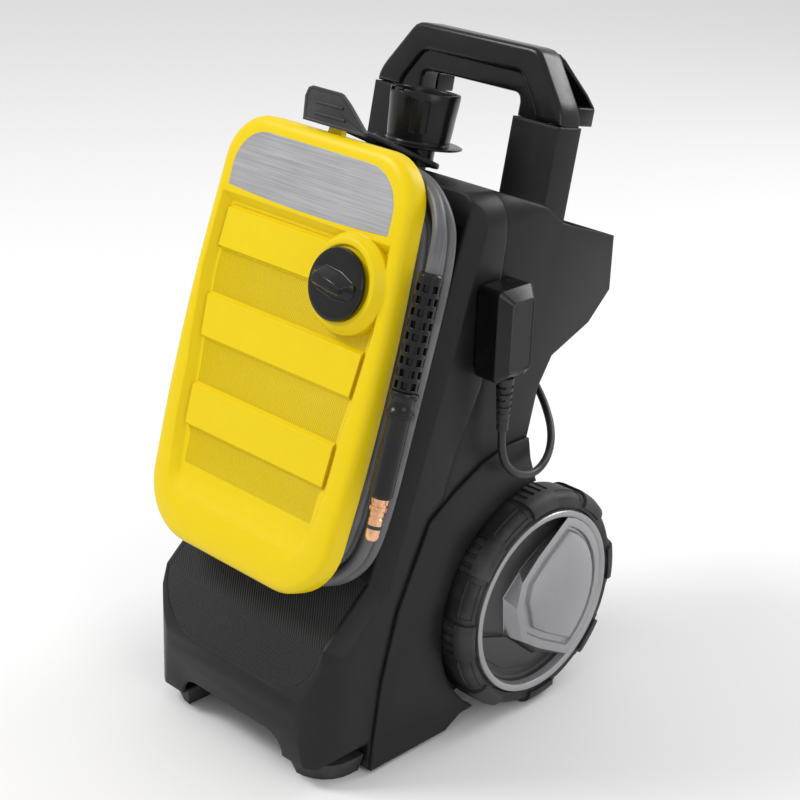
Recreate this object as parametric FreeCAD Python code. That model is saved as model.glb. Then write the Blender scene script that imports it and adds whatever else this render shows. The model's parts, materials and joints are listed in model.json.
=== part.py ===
"""Compact wheeled pressure washer, built from separate parts, in millimetres.

Frame: +Z up, -Y is the front with the hose cover, +X is the side that carries the mains plug.
The ground is z = 0 and the origin is under the centre of the machine's outline.
"""
import FreeCAD, Part
import math
import os

V = FreeCAD.Vector
X_AXIS = V(1, 0, 0)
Z_AXIS = V(0, 0, 1)

# ---------------------------------------------------------------- driving dimensions
GAP = 0.3                 # clearance between parts that move past each other
FIT = 0.05                # radial clearance of a running shaft

# housing
HALF_WIDTH = 130.0        # half width of the housing shells
WALL = 3.0
CORNER = 14.0             # chamfer along the front side edges
NOSE_ROUND = 45.0         # upright rounding of the two front corners above the feet
CROWN_ROUND = 32.0        # rounding of the two top corners, seen from the front
CHIN_Y, CHIN_Z = -206.0, 92.0
RAMP_LOW_Y, RAMP_LOW_Z = -190.0, 150.0
RAMP_TOP_Y, RAMP_TOP_Z = -134.0, 200.0
BODY_TOP_Z = 556.0
TRAY_SLOPE = 120.0 / 356.0   # run over rise of the hose tray
FRONT_TOP_Y = RAMP_TOP_Y + TRAY_SLOPE * (BODY_TOP_Z - RAMP_TOP_Z)
NECK_Y, NECK_Z = FRONT_TOP_Y + 90.0, BODY_TOP_Z - 26.0
WAIST_Y, WAIST_Z = 66.0, 298.0
BASE_REAR_Y, BASE_REAR_Z = 108.0, 120.0
GROUND_GAP = 4.0          # skirt of the base above the ground
SKIRT_FRONT = -141.0      # front edge of the base's skirt
PANEL_HALF, PANEL_THICK = 112.0, 2.5
PANEL_CORNER = 55.0       # rounding of the textured panel's lower corners

# feet
FOOT_INNER, FOOT_OUTER = 75.0, 126.0
PAD_HEIGHT = 22.0
ARCH_HEIGHT = 44.0
ARCH_ROUND = 22.0
PAD_TAPER = 7.0           # how far a foot pad draws in towards the ground

# wheels
WHEEL_Y, WHEEL_R = 78.0, 119.5
WHEEL_OUT = HALF_WIDTH + 28.0   # outer face of the wheel ring
TREAD = 52.0
TYRE_BASE_R = WHEEL_R - 3.5     # tyre between the lugs
LUGS, LUG_TURN, LUG_FIRST = 8, 20.0, 3.5
LUG_PROUD = 1.5           # lugs beyond the side of the tyre
RING_OUTER_R = WHEEL_R - 21.2
RING_INNER_R = RING_OUTER_R - 7.3
RING_THICK, DISH_DEPTH, DISH_WALL = 8.0, 14.0, 2.0
RIM_WALL, RIM_DISC = 4.0, 8.0
HUB_BULGE = 6.5
HUB_ROOM_R = 40.0         # hollow behind the hubcap
CAP_LINE = ((47, 75), (7, 55), (-22, 34), (-46, 15), (-43, -26), (-1, -63), (61, -88))
AXLE_R = 8.0
ARCH_CLEAR = 7.0

# hose cover
COVER_LEAN = 17.0
COVER_Y, COVER_Z = FRONT_TOP_Y - 99.6, BODY_TOP_Z - 19.2
COVER_TOP, COVER_BOTTOM = 70.0, -350.0
COVER_HALF_TOP, COVER_HALF_MID, COVER_HALF_LOW = 121.0, 134.0, 125.0
COVER_BACK, COVER_EDGE, COVER_RIM = -21.0, -7.0, 1.0
COVER_SKIN = 3.0
FIELD_DEPTH = 8.0
BADGE_THICK = 1.5
KNOB_U, KNOB_V = 72.0, -55.0
BOSS_R, BOSS_TOP = 47.0, 10.0
KNOB_R, KNOB_HEIGHT = 33.8, 16.0
SWITCH_SHAFT_R = 4.0
SWITCH_BACK = -62.0
BANDS = ((-65.0, -21.0), (-153.0, -107.0), (-240.0, -195.0))
BAND_HALF, BAND_RISE = 104.0, 5.0
SCREW_SPOTS = ((0, 0), (-60, -150), (60, -190), (0, -280))

# hose
HOSE_D = 12.5
HOSE_ROWS = 3
HOSE_HALF = 140.0         # half width over the wound hose
HOSE_HIGH, HOSE_LOW = 62.0, -346.0
HOSE_CORNER = 85.0
HOSE_FRONT = -26.0
SLEEVE_R, NIPPLE_R = 11.5, 6.5
SLEEVE_W = -18.0          # the hose's straight end pieces lie at this depth
SLEEVE_TOP, SLEEVE_LOW = (150.0, -22.0), (157.0, -276.0)
SLEEVE_END, CONNECTOR_END, NIPPLE_END = 106.0, 204.0, 244.0
HOSE_TAIL = [(72.0, 53.5, -32.0), (100.0, 52.0, -31.0), (123.0, 42.6, -28.0),
             (140.2, 25.1, -22.5), (149.3, 3.4, -18.0), (150.0, -22.0, -18.0)]

# core that the hose is wound on
CORE_R = HOSE_CORNER - HOSE_ROWS * HOSE_D - GAP
CORE_HALF = HOSE_HALF - HOSE_ROWS * HOSE_D - GAP
CORE_HIGH = HOSE_HIGH - HOSE_ROWS * HOSE_D - GAP
CORE_LOW = HOSE_LOW + HOSE_ROWS * HOSE_D + GAP
CORE_FRONT = -FIELD_DEPTH - COVER_SKIN - 3

# handle
POST_LEAN = 10.8
POST_Y, POST_Z = NECK_Y + 34.0, BODY_TOP_Z + 44.0
POST_OUT, POST_IN = 122.0, 64.0
POST_DEPTH = 33.0
GRIP_TOP = 66.5
GRIP_TOP_HALF = 78.0
GRIP_UNDER = 21.0
TUBE_W, TUBE_D = 32.0, 16.0
TUBE_BELOW = 225.0

# rear pockets
POCKET_IN = 62.0
POCKET_REAR_Y = NECK_Y + 104.0

# drive
MOTOR_Y = -8.0
MOTOR_R, MOTOR_LOW, MOTOR_HIGH = 52.0, 205.0, 370.0
ROTOR_R, SHAFT_R = 24.0, 7.0
PUMP_R, PUMP_LOW = 42.0, 62.0
PISTON_R, PISTON_CIRCLE = 6.0, 22.0
BEARING_R, BEARING_H = 16.0, 10.0
CAP_H, FAN_H = 16.0, 14.0
FAN_BLADES = 7
PLATE_LOW = MOTOR_LOW - 24.0
PLATE_TILT = 7.0
GUIDE_HIGH = PLATE_LOW - 40.0

PORT_X, PORT_Z = 40.0, 81.0
PIPE_R = 9.0
COUPLING_R, FLANGE_Y = 13.0, 93.0
OUTLET_R = 7.0

# lance holder and rubber band
HOLDER_Y = FRONT_TOP_Y + 40.0
HOLDER_R, HOLDER_BORE_R = 34.0, 27.0
HOLDER_HIGH = 76.0
NECK_R, FLANGE_UP = 18.0, 24.0
BAND = 5.0
TAB_LEFT, TAB_RIGHT, TAB_HIGH, TAB_THICK = -38.0, 50.0, 33.0, 5.0
TAB_V, TAB_BACK = 75.0, -7.0

# mains lead
LEAD_D = 8.0
PLUG_Y, PLUG_LOW, PLUG_HIGH = 4.0, 385.0, 475.0
PLUG_OUT = HALF_WIDTH + 38.0
HOLDER_PLATE = 2.5
BOOT = 55.0
PLUG_X = (HALF_WIDTH + HOLDER_PLATE + PLUG_OUT) / 2
LEAD_ROUTE = [(PLUG_X, PLUG_Y, PLUG_LOW - BOOT), (PLUG_X, PLUG_Y, 303), (152, 22, 279),
              (152, 52, 268), (146, 82, 275), (130, 106, 291), (104, 124, 308),
              (76, 138, 321), (48, 152, 331), (22, 168, 342), (-2, 180, 364), (-17, 186, 379)]
WIND_X, WIND_Z = -50.0, 336.0
WIND_HALF_X, WIND_HALF_Z, WIND_DEEP = 50.0, 60.0, 24.0
WIND_Y0, WIND_Y1 = 150.0, 198.0
HOOK_R, HOOK_Y = 12.0, 213.0

COVER = FreeCAD.Placement(V(0, COVER_Y, COVER_Z), FreeCAD.Rotation(X_AXIS, 90 - COVER_LEAN))
POST = FreeCAD.Placement(V(0, POST_Y, POST_Z), FreeCAD.Rotation(X_AXIS, -POST_LEAN))
HOLDER = FreeCAD.Placement(V(0, HOLDER_Y, BODY_TOP_Z - 8), FreeCAD.Rotation(X_AXIS, -POST_LEAN))


# ---------------------------------------------------------------- helpers
def box(x0, x1, y0, y1, z0, z1):
    return Part.makeBox(x1 - x0, y1 - y0, z1 - z0, V(x0, y0, z0))


def cyl(r, p0, p1):
    a, b = V(*p0), V(*p1)
    return Part.makeCylinder(r, (b - a).Length, a, b - a)


def side_face(points, x=0.0):
    """Face from (y, z) points in a plane across the machine."""
    loop = [V(x, y, z) for y, z in points]
    return Part.Face(Part.makePolygon(loop + loop[:1]))


def side_prism(points, x0, x1):
    return side_face(points, x0).extrude(V(x1 - x0, 0, 0))


def flat_prism(points, z0, z1):
    """Prism from (x, y) points."""
    loop = [V(x, y, z0) for x, y in points]
    return Part.Face(Part.makePolygon(loop + loop[:1])).extrude(V(0, 0, z1 - z0))


def front_prism(points, y0, y1):
    """Prism from (x, z) points, extruded along Y."""
    loop = [V(x, y0, z) for x, z in points]
    return Part.Face(Part.makePolygon(loop + loop[:1])).extrude(V(0, y1 - y0, 0))


def placed(shape, placement):
    moved = shape.copy()
    moved.Placement = placement.multiply(moved.Placement)
    return moved


def mirrored(shape):
    return shape.mirror(V(0, 0, 0), X_AXIS)


def both(shape):
    """The shape and its mirror image, as separate solids."""
    return Part.makeCompound([shape, mirrored(shape)])


def fuse(shapes):
    return shapes[0].fuse(shapes[1:]).removeSplitter()


def rounded_slab(half, low, high, radius, z0, z1):
    """Upright rounded rectangle in cover coordinates: half its width, lowest and highest point."""
    slab = box(-half, half, low, high, z0, z1)
    return slab.makeFillet(radius, [e for e in slab.Edges if e.BoundBox.ZLength > z1 - z0 - 0.01])


def smooth_path(points):
    """Straight runs joined by tangent arcs, each as large as its runs allow."""
    pts = [V(*p) for p in points]
    edges, radii, start = [], [], pts[0]
    for before, corner, after in zip(pts, pts[1:], pts[2:]):
        a, b = before - corner, after - corner
        short = 0.45 * min(a.Length, b.Length)
        turn = math.pi - a.getAngle(b)
        radii.append(short / math.tan(turn / 2))
        a.normalize()
        b.normalize()
        p, q = corner + a * short, corner + b * short
        bisector = a + b
        bisector.normalize()
        reach = radii[-1] / math.cos(turn / 2)
        middle = corner + bisector * (reach - radii[-1])
        edges.append(Part.LineSegment(start, p).toShape())
        edges.append(Part.Arc(p, middle, q).toShape())
        start = q
    edges.append(Part.LineSegment(start, pts[-1]).toShape())
    return Part.Wire(edges), radii


def tube(name, points, diameter):
    """Round cord along a smooth path; prints its radii and compares its volume."""
    path, radii = smooth_path(points)
    start = V(*points[0])
    ring = Part.makeCircle(diameter / 2, start, V(*points[1]) - start)
    body = path.makePipeShell([Part.Wire(ring)], True, False)
    ideal = math.pi * diameter ** 2 / 4 * path.Length
    print(name, "length", round(path.Length), "radii", [round(r) for r in radii],
          "volume ratio", round(body.Volume / ideal, 4))
    return body


# ---------------------------------------------------------------- housing outlines
def front_line():
    """Front of the machine from the foot up to the top of the hose tray, as (y, z)."""
    return [(CHIN_Y + 2, PAD_HEIGHT), (CHIN_Y - 2, CHIN_Z - 17), (CHIN_Y, CHIN_Z),
            (RAMP_LOW_Y, RAMP_LOW_Z), (RAMP_TOP_Y, RAMP_TOP_Z), (FRONT_TOP_Y, BODY_TOP_Z)]


def rear_line():
    """Back of the machine from the neck down to the ground, as (y, z)."""
    return [(FRONT_TOP_Y + 34, BODY_TOP_Z - 3), (NECK_Y, NECK_Z), (NECK_Y + 27, NECK_Z - 22),
            (NECK_Y + 20, WAIST_Z + 78), (WAIST_Y + 12, WAIST_Z + 50), (WAIST_Y, WAIST_Z),
            (WAIST_Y + 5, WAIST_Z - 24), (BASE_REAR_Y - 4, BASE_REAR_Z + 70),
            (BASE_REAR_Y, BASE_REAR_Z), (BASE_REAR_Y - 6, 58), (62, 18), (-14, 15),
            (-35, GROUND_GAP), (SKIRT_FRONT, GROUND_GAP), (SKIRT_FRONT, PAD_HEIGHT)]


def seam_line():
    """Seam between the front shell and the base, then over the base's top, as (y, z)."""
    return [(SKIRT_FRONT, 0), (-137, 34), (-128, 98), (-109, 168), (-70, 250), (-37, 271),
            (0, 289), (36, WAIST_Z), (WAIST_Y + 60, WAIST_Z)]


def crease_line():
    """Joint between the front shell and the upper rear shell, as (y, z)."""
    top = FRONT_TOP_Y + 32
    return [(top, BODY_TOP_Z + 60), (top, NECK_Z - 22), (top - 4, NECK_Z - 51), (-6, 373), (-35, 314),
            (-47, 284), (-52, 262)]


def outline():
    return front_line() + rear_line()


def chamfer_front(block, half, size):
    """Chamfer the two long edges along the front of the machine."""
    def on_front(edge):
        mid = edge.CenterOfMass
        return abs(abs(mid.x) - half) < 0.01 and mid.y < 0.268 * mid.z - 158
    return block.makeChamfer(size, [e for e in block.Edges if on_front(e)])


def nose(inset):
    """Upright column whose two rounded corners shape the front of the machine."""
    half, front = HALF_WIDTH - inset, CHIN_Y - 2 + inset
    column = box(-half, half, front, 3 * HALF_WIDTH, -50, BODY_TOP_Z + 100)
    upright = [e for e in column.Edges
               if e.BoundBox.ZLength > BODY_TOP_Z and e.BoundBox.YMax < front + 1]
    return column.makeFillet(NOSE_ROUND - inset, upright)


def crown(inset):
    """Block whose two rounded top corners shape the top of the machine."""
    half, top = HALF_WIDTH - inset, BODY_TOP_Z - inset
    slab = box(-half, half, -2 * HALF_WIDTH, 3 * HALF_WIDTH, -50, top)
    ridge = [e for e in slab.Edges
             if e.BoundBox.YLength > 4 * HALF_WIDTH and e.BoundBox.ZMin > top - 1]
    return slab.makeFillet(CROWN_ROUND - inset, ridge)


def housing_block(half):
    block = chamfer_front(side_prism(outline(), -half, half), half, CORNER)
    return block.common(nose(0)).common(crown(0))


def cavity():
    """Inside of the housing: the outline moved in by one wall, clear of the wheel arches."""
    half = HALF_WIDTH - WALL
    inner = side_face(outline(), -half).makeOffset2D(-WALL, 2)
    room = chamfer_front(inner.extrude(V(2 * half, 0, 0)), half, CORNER)
    room = room.common(nose(WALL)).common(crown(WALL))
    for side in (-1, 1):
        room = room.cut(wheel_arch(side, WALL))
    return room


def wheel_arch(side, extra):
    inner = WHEEL_OUT - TREAD - 6 - extra
    r = WHEEL_R + ARCH_CLEAR + extra
    return cyl(r, (side * inner, WHEEL_Y, WHEEL_R), (side * (WHEEL_OUT + 10), WHEEL_Y, WHEEL_R))


def base_region():
    pts = seam_line() + [(WAIST_Y + 60, -20), (SKIRT_FRONT, -20)]
    return side_prism(pts, -300, 300)


def front_region():
    pts = [(-400, -50), (-400, BODY_TOP_Z + 60)] + crease_line() + [(-52, -50)]
    return side_prism(pts, -300, 300)


def foot_arch():
    """Tunnel between the front feet, with a rounded ceiling."""
    tunnel = box(-FOOT_INNER, FOOT_INNER, CHIN_Y - 20, -120, -ARCH_ROUND, ARCH_HEIGHT)
    ceiling = [e for e in tunnel.Edges
               if e.BoundBox.YLength > ARCH_HEIGHT and e.BoundBox.ZMin > ARCH_HEIGHT - 0.01]
    return tunnel.makeFillet(ARCH_ROUND, ceiling)


def front_panel_outline():
    """Textured panel's front line, as (y, z)."""
    return [(CHIN_Y + 0.7, CHIN_Z + 3), (RAMP_LOW_Y, RAMP_LOW_Z), (RAMP_TOP_Y, RAMP_TOP_Z),
            (FRONT_TOP_Y - 10, BODY_TOP_Z - 30)]


def textured_front_panel():
    front = front_panel_outline()
    back = [(y + PANEL_THICK, z) for y, z in reversed(front)]
    sheet = side_prism(front + back, -PANEL_HALF, PANEL_HALF)
    low = CHIN_Z + 3
    inner, above = PANEL_HALF - PANEL_CORNER, low + PANEL_CORNER
    corner = box(inner, PANEL_HALF + 1, -300, 0, low - 1, above)
    corner = corner.cut(cyl(PANEL_CORNER, (inner, -301, above), (inner, 1, above)))
    return sheet.cut(corner).cut(mirrored(corner))


def front_housing():
    block = housing_block(HALF_WIDTH).common(front_region()).cut(base_region())
    shell = block.cut(cavity()).cut(foot_arch())
    shell = shell.cut(textured_front_panel())
    return shell.cut(switch_cable_hole())


def switch_cable_hole():
    return placed(Part.makeCylinder(9, 60, V(0, -120, -120)), COVER)


def post_column(side):
    """Leaning post that the handle tube slides in, in post coordinates."""
    x0, x1 = sorted((side * POST_IN, side * POST_OUT))
    column = box(x0, x1, -POST_DEPTH / 2, POST_DEPTH / 2, -125, -GAP)
    return placed(column, POST)


def tube_hole(side, clearance):
    mid = side * (POST_IN + POST_OUT) / 2
    w, d = TUBE_W / 2 + clearance, TUBE_D / 2 + clearance
    return placed(box(mid - w, mid + w, -d, d, -260, 10), POST)


def pocket_outline():
    rim = NECK_Z - 20
    return [(NECK_Y + 24, rim), (POCKET_REAR_Y, rim - 28), (POCKET_REAR_Y, rim - 84),
            (POCKET_REAR_Y - 30, rim - 112), (NECK_Y + 19, rim - 134)]


def rear_pocket(side):
    x0, x1 = sorted((side * POCKET_IN, side * HALF_WIDTH))
    outer = side_prism(pocket_outline(), x0, x1)
    inner_face = side_face(pocket_outline(), x0 + WALL).makeOffset2D(-WALL, 2)
    inner = inner_face.extrude(V(x1 - x0 - 2 * WALL, 0, 0))
    mouth = box(x0 + WALL, x1 - WALL, NECK_Y + 24 + WALL + 12, POCKET_REAR_Y - WALL,
                NECK_Z - 70, NECK_Z + 20)
    return outer.cut(inner).cut(mouth)


def rear_housing():
    block = housing_block(HALF_WIDTH).cut(front_region()).cut(base_region())
    shell = block.cut(cavity())
    whole = side_prism(outline(), -HALF_WIDTH, HALF_WIDTH)
    parts = [shell]
    for side in (-1, 1):
        parts.append(post_column(side).cut(whole))
        parts.append(rear_pocket(side).cut(whole))
    shell = fuse(parts)
    for side in (-1, 1):
        shell = shell.cut(tube_hole(side, GAP))
    return shell.fuse(hook_pin()).removeSplitter()


def base_shell():
    block = side_prism(outline(), -HALF_WIDTH - 3, HALF_WIDTH + 3).common(base_region())
    shell = block.cut(cavity())
    for side in (-1, 1):
        shell = shell.cut(wheel_arch(side, 0))
    for side in (-1, 1):
        end = side * (WHEEL_OUT - TREAD - GAP)
        hub = cyl(AXLE_R + 6, (side * 60, WHEEL_Y, WHEEL_R), (end, WHEEL_Y, WHEEL_R))
        shell = shell.fuse(hub)
    shell = shell.cut(cyl(AXLE_R, (-200, WHEEL_Y, WHEEL_R), (200, WHEEL_Y, WHEEL_R)))
    for x in (-PORT_X, PORT_X):
        shell = shell.cut(cyl(COUPLING_R + GAP, (x, FLANGE_Y, PORT_Z), (x, 140, PORT_Z)))
    return shell.removeSplitter()


def pad_outline(inset, z):
    x0, x1 = FOOT_INNER + inset, FOOT_OUTER - inset
    y0, y1 = CHIN_Y + 8 + inset, -144
    r = 38.0
    turns = [math.radians(a) for a in range(-90, 1, 15)]
    bend = [(x1 - r + r * math.cos(a), y0 + r + r * math.sin(a)) for a in turns]
    loop = [V(x, y, z) for x, y in [(x0, y0)] + bend + [(x1, y1), (x0, y1)]]
    return Part.makePolygon(loop + loop[:1])


def foot_pads():
    pad = Part.makeLoft([pad_outline(PAD_TAPER, 0), pad_outline(0, PAD_HEIGHT)], True, True)
    return both(pad)


# ---------------------------------------------------------------- hose cover and spool
def cover_outline(inset=0.0, z=0.0):
    """Closed outline of the cover in cover coordinates, moved in by inset."""
    top, low = COVER_TOP, COVER_BOTTOM
    right = [(80.0, top), (110.0, top - 13), (COVER_HALF_TOP, 25.0),
             (COVER_HALF_MID, -150.0), (COVER_HALF_LOW, -290.0),
             (112.0, -329.0), (78.0, low + 5)]
    p = [V(x, y, z) for x, y in right]
    q = [V(-x, y, z) for x, y in right]
    edges = [Part.LineSegment(q[0], p[0]).toShape(),
             Part.Arc(p[0], p[1], p[2]).toShape(),
             Part.Arc(p[2], p[3], p[4]).toShape(),
             Part.Arc(p[4], p[5], p[6]).toShape(),
             Part.Arc(p[6], V(0, low, z), q[6]).toShape(),
             Part.Arc(q[6], q[5], q[4]).toShape(),
             Part.Arc(q[4], q[3], q[2]).toShape(),
             Part.Arc(q[2], q[1], q[0]).toShape()]
    face = Part.Face(Part.Wire(edges))
    if inset:
        face = face.makeOffset2D(-inset)
    return face


def cover_slab(inset, z0, z1):
    return cover_outline(inset, z0).extrude(V(0, 0, z1 - z0))


def cover_rim():
    lower = cover_outline(0, COVER_EDGE).OuterWire
    upper = cover_outline(12, COVER_RIM).OuterWire
    return Part.makeLoft([lower, upper], True, True)


def badge_shape(grow=0.0, z0=None, z1=None):
    z0 = COVER_RIM - 1 if z0 is None else z0
    z1 = z0 + BADGE_THICK if z1 is None else z1
    area = cover_slab(14 - grow, z0, z1)
    below = box(-200, 200, -500, -grow, z0 - 1, z1 + 1)
    sag = Part.makeCylinder(900, z1 - z0 + 2, V(0, 900 - 12 - grow, z0 - 1))
    area = area.cut(box(-200, 200, -500, -14, z0 - 1, z1 + 1))
    return area.common(sag) if grow >= 0 else area.cut(below)


def front_cover():
    body = fuse([cover_slab(0, COVER_BACK, COVER_EDGE), cover_rim()])
    body = body.cut(cover_slab(COVER_SKIN, COVER_BACK - 1, -FIELD_DEPTH - COVER_SKIN - 3))
    field = cover_slab(26, -FIELD_DEPTH, 5)
    field = field.cut(box(-200, 200, -14, 200, -50, 50))
    body = body.cut(field)
    bands = []
    for low, high in BANDS:
        band = box(-BAND_HALF, BAND_HALF, low, high, -FIELD_DEPTH - 1, -FIELD_DEPTH + BAND_RISE)
        bands.append(band.common(cover_slab(27, -FIELD_DEPTH - 1, 5)))
    boss = Part.makeCone(BOSS_R, BOSS_R - 5, BOSS_TOP + FIELD_DEPTH + 1,
                         V(KNOB_U, KNOB_V, -FIELD_DEPTH - 1))
    body = fuse([body] + bands + [boss])
    body = body.cut(Part.makeCylinder(BOSS_R - 9, 12, V(KNOB_U, KNOB_V, -FIELD_DEPTH - 9)))
    body = body.cut(Part.makeCylinder(SWITCH_SHAFT_R + 1, 60, V(KNOB_U, KNOB_V, -40)))
    fin = box(-9, 9, COVER_TOP - 4, COVER_TOP + 24, COVER_BACK, TAB_BACK - BAND - 2)
    body = body.cut(badge_shape(0.2, COVER_RIM - 1, COVER_RIM + 5))
    body = body.fuse(fin).removeSplitter()
    return placed(body, COVER).cut(cover_screws())


def badge_plate():
    return placed(badge_shape(), COVER)


def spool_core():
    """Hollow core that the hose is wound on; it stands on the front shell."""
    outer = rounded_slab(CORE_HALF, CORE_LOW, CORE_HIGH, CORE_R, -130, CORE_FRONT)
    inner = rounded_slab(CORE_HALF - WALL, CORE_LOW + WALL, CORE_HIGH - WALL, CORE_R - WALL,
                         -131, CORE_FRONT - WALL)
    core = outer.cut(inner)
    hole = Part.makeCylinder(SWITCH_SHAFT_R + 1, 60, V(KNOB_U, KNOB_V, -60))
    core = placed(core.cut(hole), COVER).cut(cover_screws())
    whole = side_prism(outline(), -HALF_WIDTH, HALF_WIDTH)
    return core.cut(whole)


def switch_unit():
    body = box(KNOB_U - 22, KNOB_U + 12, KNOB_V - 22, KNOB_V + 22, SWITCH_BACK, CORE_FRONT - WALL)
    bore = Part.makeCylinder(SWITCH_SHAFT_R + FIT, 60, V(KNOB_U, KNOB_V, SWITCH_BACK + 8))
    return placed(body.cut(bore), COVER)


def switch_shaft():
    low = SWITCH_BACK + 8 + GAP
    shaft = Part.makeCylinder(SWITCH_SHAFT_R, BOSS_TOP + 9 - low, V(KNOB_U, KNOB_V, low))
    return placed(shaft, COVER)


def switch_knob():
    base = BOSS_TOP + GAP
    disc = Part.makeCylinder(KNOB_R, 6, V(KNOB_U, KNOB_V, base))
    dome = Part.makeCone(KNOB_R - 2, KNOB_R - 9, KNOB_HEIGHT - 6, V(KNOB_U, KNOB_V, base + 6))
    wing = box(KNOB_U - 6, KNOB_U + 6, KNOB_V - KNOB_R + 6, KNOB_V + KNOB_R - 6, base + 6,
               base + KNOB_HEIGHT + 5)
    knob = fuse([disc, dome, wing])
    knob = knob.cut(Part.makeCylinder(SWITCH_SHAFT_R, 30, V(KNOB_U, KNOB_V, BOSS_TOP - 21)))
    return placed(knob, COVER)


def cover_screws():
    """Four screws that hold the cover, driven from inside the spool core."""
    seat = CORE_FRONT - WALL
    screws = []
    for x, y in SCREW_SPOTS:
        shank = Part.makeCylinder(2, WALL + 4, V(x, y, seat))
        head = Part.makeCylinder(4, 2.4, V(x, y, seat - 2.4))
        screws.append(head.fuse(shank).removeSplitter())
    return placed(Part.makeCompound(screws), COVER)


# ---------------------------------------------------------------- hose
def hose_coil():
    back = HOSE_FRONT - HOSE_ROWS * HOSE_D
    outer = rounded_slab(HOSE_HALF, HOSE_LOW, HOSE_HIGH, HOSE_CORNER, back, HOSE_FRONT)
    inner = rounded_slab(CORE_HALF + GAP, CORE_LOW - GAP, CORE_HIGH + GAP, CORE_R + GAP,
                         back - 1, HOSE_FRONT + 1)
    return placed(outer.cut(inner), COVER)


def hose_axis(distance):
    """Point on the straight line of the hose's end pieces, this far below its top."""
    du, dv = SLEEVE_LOW[0] - SLEEVE_TOP[0], SLEEVE_LOW[1] - SLEEVE_TOP[1]
    k = distance / math.hypot(du, dv)
    return (SLEEVE_TOP[0] + du * k, SLEEVE_TOP[1] + dv * k, SLEEVE_W)


def hose_piece(r, start, end):
    return placed(cyl(r, hose_axis(start), hose_axis(end)), COVER)


def hose_tail():
    route = [tuple(COVER.multVec(V(*p))) for p in HOSE_TAIL]
    return tube("hose_tail", route, HOSE_D)


def bend_sleeve():
    body = hose_piece(SLEEVE_R, 0, SLEEVE_END)
    for i in range(8):
        ring = hose_piece(SLEEVE_R + 1, 10 + 12 * i, 14 + 12 * i)
        body = body.cut(ring.cut(hose_piece(SLEEVE_R - 3, 9 + 12 * i, 15 + 12 * i)))
    return body


def connector_sleeve():
    collar = hose_piece(SLEEVE_R + 2, SLEEVE_END, SLEEVE_END + 24)
    grip = hose_piece(SLEEVE_R - 1, SLEEVE_END + 24, CONNECTOR_END)
    return collar.fuse(grip).removeSplitter()


def brass_nipple():
    shoulder = hose_piece(NIPPLE_R + 1.5, CONNECTOR_END, CONNECTOR_END + 12)
    stem = hose_piece(NIPPLE_R, CONNECTOR_END + 12, NIPPLE_END)
    return shoulder.fuse(stem).cut(nipple_ring(0.3)).removeSplitter()


def nipple_ring(proud=0.0):
    """O-ring in the groove of the nipple; grown outwards it cuts the groove."""
    start, end = CONNECTOR_END + 26, CONNECTOR_END + 29
    outer = hose_piece(NIPPLE_R + 0.3 + proud, start, end)
    return outer.cut(hose_piece(NIPPLE_R - 1.5, start, end))


# ---------------------------------------------------------------- lance holder and band
def lance_holder():
    """Slotted cup on a neck with a wide flange, standing on top of the housing."""
    neck = Part.makeCylinder(NECK_R, FLANGE_UP + 6, V(0, 0, -6))
    plate = Part.makeCylinder(HOLDER_R + 10, 3, V(0, 0, FLANGE_UP))
    cup = Part.makeCone(HOLDER_R - 3, HOLDER_R, HOLDER_HIGH - FLANGE_UP - 3, V(0, 0, FLANGE_UP + 3))
    bore = Part.makeCylinder(HOLDER_BORE_R, HOLDER_HIGH, V(0, 0, FLANGE_UP + 6))
    body = fuse([neck, plate, cup]).cut(bore)
    for i in range(4):
        slot = box(-3, 3, HOLDER_BORE_R - 4, HOLDER_R + 9, FLANGE_UP + 18, HOLDER_HIGH - 8)
        slot.rotate(V(0, 0, 0), Z_AXIS, 45 + 90 * i)
        body = body.cut(slot)
    whole = side_prism(outline(), -HALF_WIDTH, HALF_WIDTH)
    return placed(body, HOLDER).cut(whole)


def band_tab():
    """Rubber pull tab with two slits, standing over the top edge of the cover."""
    tab = box(TAB_LEFT, TAB_RIGHT, TAB_V, TAB_V + TAB_HIGH, TAB_BACK, TAB_BACK + TAB_THICK)
    for low in (7, 17):
        tab = tab.cut(box(-22, 17, TAB_V + low, TAB_V + low + 3, -20, 20))
    return placed(tab, COVER)


def band_loop():
    """Rubber band from behind the tab round the neck of the lance holder."""
    start = COVER.multVec(V(0, TAB_V + 6, TAB_BACK - GAP - 0.4))
    end = HOLDER.multVec(V(0, 0, 10))
    along = end - start
    inner_r = NECK_R + 1.6
    half = inner_r + BAND
    outer = [box(0, along.Length, -half, half, -BAND / 2, BAND / 2),
             Part.makeCylinder(half, BAND, V(along.Length, 0, -BAND / 2))]
    inner = [box(BAND, along.Length, -inner_r, inner_r, -BAND, BAND),
             Part.makeCylinder(inner_r, 2 * BAND, V(along.Length, 0, -BAND))]
    loop = fuse(outer).cut(fuse(inner))
    turn = FreeCAD.Rotation(along, X_AXIS, Z_AXIS, "XYZ")
    loop.Placement = FreeCAD.Placement(start, turn)
    return loop


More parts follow.
